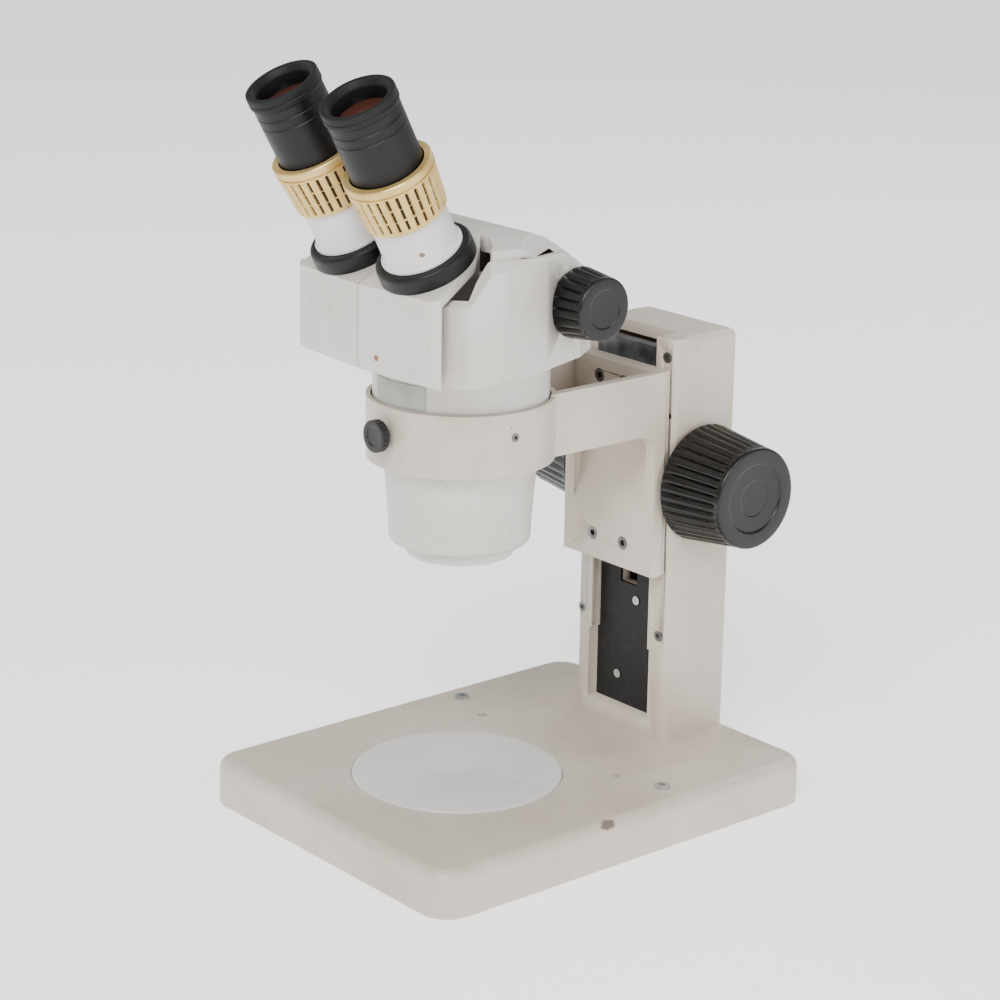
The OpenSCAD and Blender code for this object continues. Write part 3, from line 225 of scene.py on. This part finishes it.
def moulded_black(name, colour, dusty, rough, texture_mm=0.6, depth=0.4, coat=0.0):
    """Moulded phenolic, ABS or rubber: a fine mould texture under dust and finger marks."""
    made, tree, place_on = start_material(name)
    handled = add(tree, "TexNoise", {"Vector": place_on, "Scale": per_metre(6), "Detail": 6.0,
                                     "Roughness": 0.7}, "Fac")
    dust = add(tree, "MapRange", {"Value": handled, "From Min": 0.5, "From Max": 0.85}, "Result")
    shade = add(tree, "Mix", {0: dust, 6: srgb(colour), 7: srgb(dusty)}, 2, data_type="RGBA")
    fine = add(tree, "TexNoise", {"Vector": place_on, "Scale": per_metre(texture_mm), "Detail": 3.0}, "Fac")
    bump = add(tree, "Bump", {"Strength": depth, "Distance": 0.0001, "Height": fine}, 0)
    gloss = add(tree, "MapRange", {"Value": handled, "To Min": rough, "To Max": rough + 0.3}, "Result")
    return finish_material(made, Base_Color=shade, Roughness=gloss, Normal=bump, Coat_Weight=coat,
                           Coat_Roughness=0.1, Specular_IOR_Level=0.32)


def cut_metal(name, colour, dark, rough, stretch=(1.0, 1.0, 1.0), metallic=1.0, marks_mm=0.4):
    """Turned, ground or drawn metal: cutter marks drawn out along the cut, and duller patches of oil.
    The marks are drawn coarser than the real ones, because those are too fine to show."""
    made, tree, place_on = start_material(name)
    along = add(tree, "Mapping", {"Vector": place_on, "Scale": stretch}, 0)
    marks = add(tree, "TexNoise", {"Vector": along, "Scale": per_metre(marks_mm), "Detail": 3.0}, "Fac")
    oil = add(tree, "TexNoise", {"Vector": place_on, "Scale": per_metre(10), "Detail": 5.0}, "Fac")
    patch = add(tree, "MapRange", {"Value": oil, "From Min": 0.4, "From Max": 0.7}, "Result")
    tone = add(tree, "Mix", {0: patch, 6: srgb(colour), 7: srgb(dark)}, 2, data_type="RGBA")
    bump = add(tree, "Bump", {"Strength": 0.3, "Distance": 0.00005, "Height": marks}, 0)
    gloss = add(tree, "MapRange", {"Value": marks, "To Min": rough - 0.08, "To Max": rough + 0.16}, "Result")
    return finish_material(made, Base_Color=tone, Metallic=metallic, Roughness=gloss, Normal=bump)


def bloomed_glass(name, reflection_tint):
    """Polished and bloomed lens glass with painted light: a nearly black base colour as painted shade of the
    dark inside, turning to a painted tinted reflection at a glancing view, and some dust.
    """
    made, tree, place_on = start_material(name)
    specks = add(tree, "TexNoise", {"Vector": place_on, "Scale": per_metre(0.9), "Detail": 6.0}, "Fac")
    # Painted reflection and shade: the base colour is dark facing the camera and turns to the coating's tint
    # as the surface turns away
    facing = add(tree, "LayerWeight", {"Blend": 0.4}, "Facing")
    shade = add(tree, "Mix", {0: facing, 6: srgb("#0d0b0c"), 7: srgb(reflection_tint)}, 2, data_type="RGBA")
    dust = add(tree, "MapRange", {"Value": specks, "From Min": 0.64, "From Max": 0.9, "To Max": 0.4},
               "Result")
    shade = add(tree, "Mix", {0: dust, 6: shade, 7: srgb("#8b8680")}, 2, data_type="RGBA")
    return finish_material(made, Base_Color=shade, Roughness=0.04, IOR=1.52, Coat_Weight=1.0,
                           Coat_Roughness=0.02)


# ---------------------------------------------------------------- meshes


def dress(mesh, name, body, material, replaced=(), sharp=32):
    """Makes an object of a mesh: smooth but for edges over an angle, on a CAD body, in one material."""
    mesh.polygons.foreach_set("use_smooth", np.ones(len(mesh.polygons), bool))
    mesh.set_sharp_from_angle(angle=math.radians(sharp))
    mesh.materials.clear()
    mesh.materials.append(material)
    piece = bpy.data.objects.new(name, mesh)
    bpy.context.scene.collection.objects.link(piece)
    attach(piece, body)
    if replaced:
        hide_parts(*replaced)
    return piece


def merged_casting(node, body, material):
    """A CAD casting with its triangles merged into flat faces, in its own finish. Its edges are the CAD's."""
    work = bmesh.new()
    work.from_mesh(NODES[node].data)
    bmesh.ops.remove_doubles(work, verts=work.verts, dist=2e-6)
    bmesh.ops.dissolve_limit(work, angle_limit=math.radians(0.5), verts=work.verts, edges=work.edges)
    bmesh.ops.recalc_face_normals(work, faces=work.faces)
    mesh = bpy.data.meshes.new(node + "_finish")
    work.to_mesh(mesh)
    work.free()
    dress(mesh, node + "_finish", body, material, (node,))


def eased(outline, radius, steps=4):
    """A profile with each inner corner replaced by a curve that starts and ends radius mm away from it."""
    corners = np.asarray(outline, float)
    share = np.linspace(0, 1, steps + 1)[:, None]
    made = [corners[:1]]
    for before, corner, after in zip(corners, corners[1:], corners[2:]):
        to_before, to_after = before - corner, after - corner
        near = min(radius, 0.45 * np.linalg.norm(to_before), 0.45 * np.linalg.norm(to_after))
        start = corner + to_before / max(np.linalg.norm(to_before), 1e-9) * near
        end = corner + to_after / max(np.linalg.norm(to_after), 1e-9) * near
        made.append((1 - share) ** 2 * start + 2 * share * (1 - share) * corner + share ** 2 * end)
    return np.vstack(made + [corners[-1:]])


def axes_along(origin_mm, axis):
    """An origin in metres and a matrix whose third column runs along axis."""
    z = np.array(axis, float) / np.linalg.norm(axis)
    x = np.cross((0.0, 0.0, 1.0), z)
    x = np.array([1.0, 0.0, 0.0]) if np.linalg.norm(x) < 1e-6 else x / np.linalg.norm(x)
    return np.array(origin_mm, float) * MM, np.column_stack([x, np.cross(z, x), z])


def turned_mesh(stand, profile, angles=None, cut_in=None):
    """A lathe surface: at angle a and profile point (r, z) it lies at origin + r' (cos a x + sin a y)
    + z axis, with r' = r - cut_in(a, r, z), all in mm before scaling."""
    origin, axes = stand
    profile = np.asarray(profile, float)
    angles = np.linspace(0, 2 * np.pi, 97)[:-1] if angles is None else np.asarray(angles)
    turn, r = np.meshgrid(angles, profile[:, 0], indexing="ij")
    z = np.broadcast_to(profile[:, 1], turn.shape)
    if cut_in is not None:
        r = np.maximum(r - cut_in(turn, r, z), 0.0)
    points = origin + np.stack([r * np.cos(turn), r * np.sin(turn), z], axis=-1) @ axes.T * MM
    across, along = turn.shape
    a, v = np.meshgrid(np.arange(across), np.arange(along - 1), indexing="ij")
    b = (a + 1) % across
    faces = np.stack([a * along + v, b * along + v, b * along + v + 1, a * along + v + 1], axis=-1)
    return points.reshape(-1, 3), faces.reshape(-1, 4)


def turned(name, stands, profile, body, material, replaced=(), angles=None, cut_in=None, sharp=32):
    """One piece of one or more lathe surfaces with the same profile, closed where it meets its axis."""
    points, faces, count = [], [], 0
    for stand in stands:
        some_points, some_faces = turned_mesh(stand, profile, angles, cut_in)
        points.append(some_points)
        faces.append(some_faces + count)
        count += len(some_points)
    mesh = bpy.data.meshes.new(name)
    mesh.from_pydata(np.vstack(points).tolist(), [], np.vstack(faces).tolist())
    work = bmesh.new()
    work.from_mesh(mesh)
    bmesh.ops.remove_doubles(work, verts=work.verts, dist=1e-7)
    bmesh.ops.dissolve_degenerate(work, edges=work.edges, dist=1e-8)
    bmesh.ops.recalc_face_normals(work, faces=work.faces)
    work.to_mesh(mesh)
    work.free()
    return dress(mesh, name, body, material, replaced, sharp)


def ring_of(outline):
    """A profile closed on itself, for a hollow turned piece."""
    return np.vstack([outline, outline[:1]])


def fluted_angles(count, samples):
    return np.arange(count * samples) * 2 * np.pi / (count * samples)


def between(z, low, high, ease):
    """1 from low to high and 0 outside, with linear ends of length ease."""
    return np.clip((z - low) / ease + 0.5, 0, 1) * np.clip((high - z) / ease + 0.5, 0, 1)


def use_material(material, *nodes):
    """Gives CAD nodes whose shape stays a finished material."""
    for node in nodes:
        slots = NODES[node].data.materials
        if len(slots):
            for i in range(len(slots)):
                slots[i] = material
        else:
            slots.append(material)


def worn(point, node, radii, colour, torn_mm):
    """A worn patch of the paint, centred where an image point falls on a CAD node, with radii in mm."""
    spot, _ = place(IMAGE_POINTS[point], [NODES[node]])
    return spot, [radius * MM for radius in radii], colour, torn_mm


# ---------------------------------------------------------------- finishes

# Cream enamel on iron and aluminium castings, slightly yellowed
STAND_PAINT = {"paint": "#c9beb1", "shade": "#bdb1a2", "rough": 0.42}
HEAD_PAINT = {"paint": "#d0ccc6", "shade": "#c6c0b8", "rough": 0.36}

# Phenolic mouldings: nearly black, glossy where rubbed
knob_phenolic = moulded_black("moulded_phenolic", "#050506", "#0e0f10", 0.16, 0.6, 0.25, coat=0.2)
# Black anodised eyepiece barrels, satin with dust
barrel_black = moulded_black("black_anodised_aluminium", "#060709", "#101113", 0.3, 0.3, 0.12)
eyecup_rubber = moulded_black("moulded_rubber", "#08090a", "#141516", 0.45, 0.8, 0.4)
foot_rubber = moulded_black("moulded_foot_rubber", "#1d1c1b", "#35322e", 0.7, 1.0, 0.5)
panel_black = moulded_black("black_crackle_enamel", "#1a1a1b", "#34322f", 0.45, 0.9, 0.6)
# Dyed anodised aluminium, browner where handled
gold_band = cut_metal("gold_anodised_aluminium", "#d8bc7c", "#c8a55f", 0.36, metallic=0.55, marks_mm=0.8)
# Painted shade: dark brown for the bottoms of the diopter rings' grip slots, where shade falls
slot_shade_finish = moulded_black("painted_shade_grip_slot", "#2a1c10", "#5a3f22", 0.7)
bright_steel = cut_metal("bright_turned_steel", "#c9cbcd", "#9b9c9b", 0.28)
dull_steel = cut_metal("oiled_steel_screw", "#7d7c7a", "#4b4845", 0.38)
slide_metal = cut_metal("ground_cast_iron", "#63666a", "#3b3d40", 0.34, stretch=(1.0, 1.0, 0.06))
bronze = cut_metal("bearing_bronze", "#a8834f", "#7b5c33", 0.4)
brass = cut_metal("lacquered_brass", "#b89150", "#8f6c38", 0.35)
prism_glass = bloomed_glass("polished_prism_glass", "#5f6f78")
eye_glass = bloomed_glass("bloomed_eye_lens", "#6b3a2c")
zinc_sheet = cut_metal("zinc_plated_sheet", "#9fa09c", "#7f7e78", 0.45, metallic=0.9)
stage_white = stoved_enamel("white_stage_enamel", "#dddcda", "#d2d0cc", 0.4, 26.0)
tube_wear = [worn("tube_chip", "eyepiece_tube_right", (2.6, 2.6, 2.6), "#6f5c47", 0.9)]
tube_paint = stoved_enamel("white_tube_enamel", "#dcd9d6", "#d2cecb", 0.3, 11.0, tube_wear)
label_foil = cut_metal("printed_label_foil", "#a7aca3", "#969a90", 0.5, metallic=0.35)

# ---------------------------------------------------------------- places, in mm

AXIS_Y = -33.0
CLIP_HOLE = (49.7, 23.7, 22.3)
PINION = (89.8, 152.0)
ZOOM_SHAFT = (-5.0, 255.4)
CLAMP = (-79.1, 196.0)
TUBE_FOOT = (24.0, -71.7, 276.9)
TUBE_TILT = math.radians(28.4)
TUBE_SPLAY = math.radians(4.2)


def tube_stand(side):
    """The frame of an eyepiece tube: it starts on the housing's sloping top and its axis runs up the tube."""
    lean = math.sin(TUBE_TILT)
    axis = (side * math.sin(TUBE_SPLAY) * lean, -math.cos(TUBE_SPLAY) * lean, math.cos(TUBE_TILT))
    return axes_along((side * TUBE_FOOT[0], TUBE_FOOT[1], TUBE_FOOT[2]), axis)


def upright(z=0.0, x=0.0, y=AXIS_Y):
    return axes_along((x, y, z), (0.0, 0.0, 1.0))


# ---------------------------------------------------------------- castings


def make_castings():
    stand_wear = [worn("edge_wear", "base_casting", (9, 9, 4), "#6d6259", 1.1),
                  worn("rail_notch", "guide_rail_right", (2.2, 2.2, 3.4), "#26221e", 4.0)]
    head_wear = [worn("housing_rust", "prism_housing_right", (3, 3, 3), "#7a4d2c", 0.8)]
    stand_paint = stoved_enamel("cream_stand_enamel", **STAND_PAINT, wear=stand_wear)
    head_paint = stoved_enamel("cream_head_enamel", **HEAD_PAINT, wear=head_wear)
    merged_casting("base_casting", "stand", stand_paint)
    merged_casting("pillar_casting", "stand", stand_paint)
    for side in SIDES:
        merged_casting("guide_rail_" + side, "stand", stand_paint)
        merged_casting("prism_housing_" + side, "swing_" + side, head_paint)
    merged_casting("arm_bracket", "carriage", stand_paint)
    merged_casting("head_body", "head", head_paint)
    merged_casting("head_cover", "head", head_paint)
    merged_casting("recess_cover", "stand", panel_black)
    merged_casting("focus_slide", "carriage", slide_metal)
    turned("lower_housing_finish", [upright()], ring_of(eased(
        [(22, 138.7), (25, 138.7), (33, 139.2), (33, 147), (35.3, 176.3), (35.3, 222), (36, 222), (36, 228),
         (30, 228), (30, 152), (20, 152), (20, 150), (22, 150)], 4.0, 6)),
        "head", head_paint, ("lower_housing",))
    turned("nose_ring_finish", [upright()], ring_of(eased(
        [(20, 133), (24.6, 133), (25, 133.4), (25, 138.4), (22.4, 138.4), (22, 138.5), (22, 143), (20, 143)],
        0.4, 2)), "head", tube_paint, ("nose_ring",))
    turned("head_collar_finish", [upright()], ring_of(
        [(36, 178.5), (40.5, 178.5), (40.5, 228), (36, 228)]), "head", head_paint,
        ("head_collar",))
    turned("stage_plate_finish", [upright(17.1)], eased(
        [(0, 0), (49.6, 0), (50, 0.4), (50, 5.6), (49.6, 6), (0.7, 6), (0.5, 5.6), (0, 5.5)], 0.3, 2),
        "stage", stage_white, ("stage_plate",), angles=np.linspace(0, 2 * np.pi, 193)[:-1])


# ---------------------------------------------------------------- turned pieces


def make_knobs():
    def fluted(count, depth, low, high, sharpness=1.3):
        return lambda turn, r, z: (depth * (1 - np.abs(np.sin(count * turn / 2))) ** sharpness
                                   * between(z, low, high, 1.2) * (r > 0.3 * np.max(r)))
    for side, sign in SIDES.items():
        stand = axes_along((sign * 34.0, *PINION), (sign, 0, 0))
        rows = [(28.6 - 4.1 * (z - 0.8) / 33.3, z) for z in np.linspace(3, 32, 9)]
        profile = [(0, 0), (27.9, 0), (28.6, 0.8)] + rows + list(eased(
            [(24.7, 33), (24.5, 35.7), (17, 35.7), (16.5, 34.9), (9, 34.9), (8.6, 34.7), (0, 34.7)], 1.2, 4))
        turned("focus_knob_%s_finish" % side, [stand], profile, "focus_drive", knob_phenolic,
               ("focus_knob_" + side,), fluted_angles(36, 10), fluted(36, 1.3, 2.6, 32.6))
        stand = axes_along((sign * 47.0, *ZOOM_SHAFT), (sign, 0, 0))
        rows = [(16.4 - 2.0 * (z - 0.8) / 16, z) for z in np.linspace(2.4, 15.4, 6)]
        profile = [(0, 0), (15.7, 0), (16.4, 0.8)] + rows + list(eased(
            [(14.5, 16), (14.3, 18), (9, 18), (8.6, 17.7), (0, 17.7)], 1.3, 4))
        turned("zoom_knob_%s_finish" % side, [stand], profile, "zoom_drive", knob_phenolic,
               ("zoom_knob_" + side,), fluted_angles(20, 14), fluted(20, 1.3, 2.0, 15.6))
    rows = [(7.5, z) for z in np.linspace(0.8, 3.2, 4)]
    profile = [(0, -5.3), (2.9, -5.3), (2.9, 0), (6.7, 0)] + rows + list(
        eased([(7.5, 3.3), (7.5, 4.5), (4.6, 4.5), (4.3, 4.1), (0, 4.1)], 1.2, 4))
    turned("ring_clamp_knob_finish", [axes_along((0, *CLAMP), (0, -1, 0))], profile, "ring_clamp",
           knob_phenolic, ("ring_clamp_knob",), fluted_angles(18, 10),
           fluted(18, 0.4, 0.7, 3.8))


def make_eyepieces():
    slots, slot_wide = 28, 0.055
    pitch = 2 * np.pi / slots
    steps = np.array([-1.5, -1.0, 1.0, 1.5]) * slot_wide / 2
    steps = np.concatenate([steps, np.linspace(steps[-1], pitch + steps[0], 5)[1:-1]])
    ring_angles = (np.arange(slots)[:, None] * pitch + steps).ravel()

    def in_slot(turn):
        return np.abs((turn / pitch + 0.5) % 1.0 - 0.5) * pitch < slot_wide * 0.55

    def ring_cut(turn, r, z):
        dashes = between(z, 29.6, 34.6, 0.3) + between(z, 35.2, 40.6, 0.3) + between(z, 41.2, 46.9, 0.3)
        return 0.8 * in_slot(turn) * dashes * (r > 17.5)

    for side, sign in SIDES.items():
        stand = [tube_stand(sign)]
        turned("tube_collar_%s_finish" % side, stand, ring_of(np.vstack([
            [(17.05, 0), (21.8, 0)], eased([(22.2, 0.4), (22.2, 8), (17.05, 8)], 3.2, 7)])),
            "swing_" + side, barrel_black, ("tube_collar_" + side,))
        turned("eyepiece_tube_%s_finish" % side, stand, ring_of(
            [(16.2, -4.5), (17, -4.5), (17, 8), (18.3, 8), (18.6, 8.3), (18.6, 9.3), (18.2, 9.8),
             (17.2, 10.2), (17, 10.6), (17, 40), (16.2, 40)]), "swing_" + side, tube_paint,
            ("eyepiece_tube_" + side,))
        slope = [(18.6 + 1.6 * (z - 28.4) / 19.4, z) for z in
                 (29.3, 29.7, 34.4, 34.8, 35.0, 35.4, 40.4, 40.8, 41.0, 41.4, 46.7, 47.1)]
        profile = [(17.1, 27.9), (18.2, 27.9), (18.6, 28.4)] + slope + [
            (20.2, 47.8), (19.5, 48.1), (19.5, 48.6), (20.3, 49), (20.3, 51.7), (19.8, 52.2), (17.1, 52.2)]
        ring = turned("diopter_ring_%s_finish" % side, stand, ring_of(profile), "diopter_" + side, gold_band,
                      ("diopter_ring_" + side,), ring_angles, ring_cut, sharp=28)
        # Painted shade on the bottoms of the grip slots
        paint_slot_shade(ring, tube_stand(sign), ring_cut)
        barrel = [(15, 44.8), (16.2, 44.8), (16.4, 45), (16.4, 71.6), (16.15, 71.9), (16.15, 72.4),
                  (16.4, 72.7),
                  (16.4, 76.2), (16.1, 76.5), (16.1, 77.2), (16.4, 77.5), (16.4, 81)]
        turned("eyepiece_%s_finish" % side, stand, ring_of(
            [(13.5, 14), (15, 14)] + barrel + [(12.5, 81), (12.5, 76), (11.5, 76), (11.5, 48.8),
                                               (13.5, 44.8)]),
            "ocular_" + side, barrel_black, ("eyepiece_" + side,))
        turned("eyecup_%s_finish" % side, stand, ring_of(eased(
            [(12.6, 81), (16.4, 81), (17.1, 81.8), (17.1, 83.5), (16.6, 84), (17.1, 84.5), (16.9, 87.4),
             (14.5, 87.4), (13.2, 85.5), (12.6, 84.5), (12.6, 81.1)], 0.7, 3)), "ocular_" + side,
            eyecup_rubber, ("eyecup_" + side,))
        dome = [(12.4 * s, 79.6 - 1.2 * s * s) for s in np.linspace(1, 0, 8)]
        turned("eye_lens_%s_finish" % side, stand, [(0, 76), (12.4, 76)] + dome, "ocular_" + side, eye_glass,
               ("eye_lens_" + side,))


def paint_slot_shade(ring, stand, cut):
    """Paints the faces at the bottom of the grip slots dark brown, as painted shade in the slots."""
    origin, axes = stand
    mesh = ring.data
    centres = np.empty(len(mesh.polygons) * 3)
    mesh.polygons.foreach_get("center", centres)
    local = (centres.reshape(-1, 3) - origin) @ axes / MM
    depth = cut(np.arctan2(local[:, 1], local[:, 0]), np.hypot(local[:, 0], local[:, 1]), local[:, 2])
    mesh.materials.append(slot_shade_finish)
    mesh.polygons.foreach_set("material_index", (depth > 0.4).astype(np.int32))


def make_small_parts():
    corners = [(x, y) for x in (-66, 66) for y in (-90, 90)]
    turned("foot_pads_finish", [upright(0, x, y) for x, y in corners], eased(
        [(0, 0.8), (5, 0.8), (5.4, 0), (9, 0), (9, 4), (0, 4)], 0.8, 3), "stand", foot_rubber,
        ("foot_pads",))
    use_material(bright_steel, "base_screws", "recess_cover_screws", "pinion_shaft", "zoom_shaft",
                 "zoom_guide_rods", "draw_sleeve_left", "draw_sleeve_right")
    use_material(dull_steel, "pillar_bolts", "rail_screws", "arm_screws", "ring_set_screw", "head_screws")
    use_material(bronze, "shaft_bushings", "zoom_bushings", "swing_gear_left", "swing_gear_right")
    use_material(brass, "focus_rack")
    use_material(zinc_sheet, "base_cover")
    use_material(barrel_black, "zoom_carrier_upper", "zoom_carrier_lower")
    use_material(prism_glass, "objective_lens", "zoom_lenses_upper", "zoom_lenses_lower", "prisms_left",
                 "prisms_right")
    use_material(label_foil, "label_plate")


# ---------------------------------------------------------------- studio


def make_studio():
    """A pale floor, a pale world and four large soft lights."""
    floor_mesh = bpy.data.meshes.new("floor")
    floor_mesh.from_pydata([(-6, -6, 0), (6, -6, 0), (6, 6, 0), (-6, 6, 0)], [], [(0, 1, 2, 3)])
    floor = bpy.data.objects.new("floor", floor_mesh)
    bpy.context.scene.collection.objects.link(floor)
    made, tree, place_on = start_material("studio_paper")
    fibre = add(tree, "TexNoise", {"Vector": place_on, "Scale": per_metre(3)}, "Fac")
    shade = add(tree, "Mix", {0: fibre, 6: srgb("#f7f7f6"), 7: srgb("#fbfbfb")}, 2, data_type="RGBA")
    floor_mesh.materials.append(finish_material(made, Base_Color=shade, Roughness=0.9,
                                                Emission_Color=srgb("#ffffff"), Emission_Strength=0.9))
    floor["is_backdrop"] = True
    world = bpy.data.worlds.new("studio")
    world.use_nodes = True
    bpy.context.scene.world = world
    world.node_tree.nodes["Background"].inputs["Color"].default_value = srgb("#ffffff")
    world.node_tree.nodes["Background"].inputs["Strength"].default_value = 0.5
    lights = {"key": ((0.9, -1.3, 1.5), 0.9, 40.0), "fill": ((-1.5, -0.9, 0.9), 1.4, 9.0),
              "side": ((1.7, 0.3, 0.8), 0.8, 14.0), "back": ((-0.4, 1.5, 1.4), 1.2, 10.0)}
    target = Vector((0, 0, 0.16))
    for name, (spot, size, power) in lights.items():
        data = bpy.data.lights.new(name, "AREA")
        data.size, data.energy = size, power
        lamp = bpy.data.objects.new(name, data)
        lamp.location = spot
        lamp.rotation_mode = "QUATERNION"
        lamp.rotation_quaternion = (target - Vector(spot)).to_track_quat("-Z", "Y")
        bpy.context.scene.collection.objects.link(lamp)


# ---------------------------------------------------------------- middles of what shows of the pieces at the image points, worked out and not compared


def finished_points(piece):
    """The vertices of a piece as finished, with its modifiers."""
    made = piece.evaluated_get(bpy.context.evaluated_depsgraph_get()).to_mesh()
    spots = np.empty(len(made.vertices) * 3)
    made.vertices.foreach_get("co", spots)
    return spots.reshape(-1, 3)


def shown(points):
    """The points that the camera sees, by one ray each."""
    depsgraph = bpy.context.evaluated_depsgraph_get()
    keep = []
    for point in points:
        to_point = Vector(point) - CAMERA_PLACE
        hit, spot, *_ = bpy.context.scene.ray_cast(depsgraph, CAMERA_PLACE, to_point.normalized())
        keep.append(not hit or (spot - CAMERA_PLACE).length > to_point.length - 0.0004)
    return points[np.array(keep, bool)]


def middle_shown(pieces, centre=None, reach=None):
    """The middle, in the photograph's frame, of what shows of some pieces, or of them near a place in mm."""
    spots = np.vstack([finished_points(piece) for piece in pieces])
    if centre is not None:
        spots = spots[np.linalg.norm(spots - np.array(centre) * MM, axis=1) < reach * MM]
    spots = shown(spots[::max(1, len(spots) // 700)])
    seen = project(spots)
    return (seen.min(axis=0) + seen.max(axis=0)) / 2


def check_points(features):
    everything = np.vstack([finished_points(piece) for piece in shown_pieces()])
    for name, where in features.items():
        middle_shown(*where)


# ---------------------------------------------------------------- the scene

make_camera()
make_castings()
make_knobs()
make_eyepieces()
make_small_parts()
make_studio()

finishes = {piece.name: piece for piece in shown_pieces()}
hole_x, hole_y, hole_z = CLIP_HOLE
features = {
    "stage_plate": ([finishes["stage_plate_finish"]],),
    "clip_hole_right": ([finishes["base_casting_finish"]], (hole_x, hole_y, hole_z), 3.4),
    "clip_hole_left": ([finishes["base_casting_finish"]], (-hole_x, hole_y, hole_z), 3.4),
    "label_plate": ([NODES["label_plate"]],),
    "focus_knob_right": ([finishes["focus_knob_right_finish"]],),
    "zoom_knob_right": ([finishes["zoom_knob_right_finish"]],),
    "clamp_knob": ([finishes["ring_clamp_knob_finish"]],),
}
for name in ("base_screw_right", "base_screw_left"):
    head_spot = place(IMAGE_POINTS[name], [NODES["base_screws"]])[0]
    features[name] = ([NODES["base_screws"]], tuple(head_spot / MM), 7.0)
check_points(features)
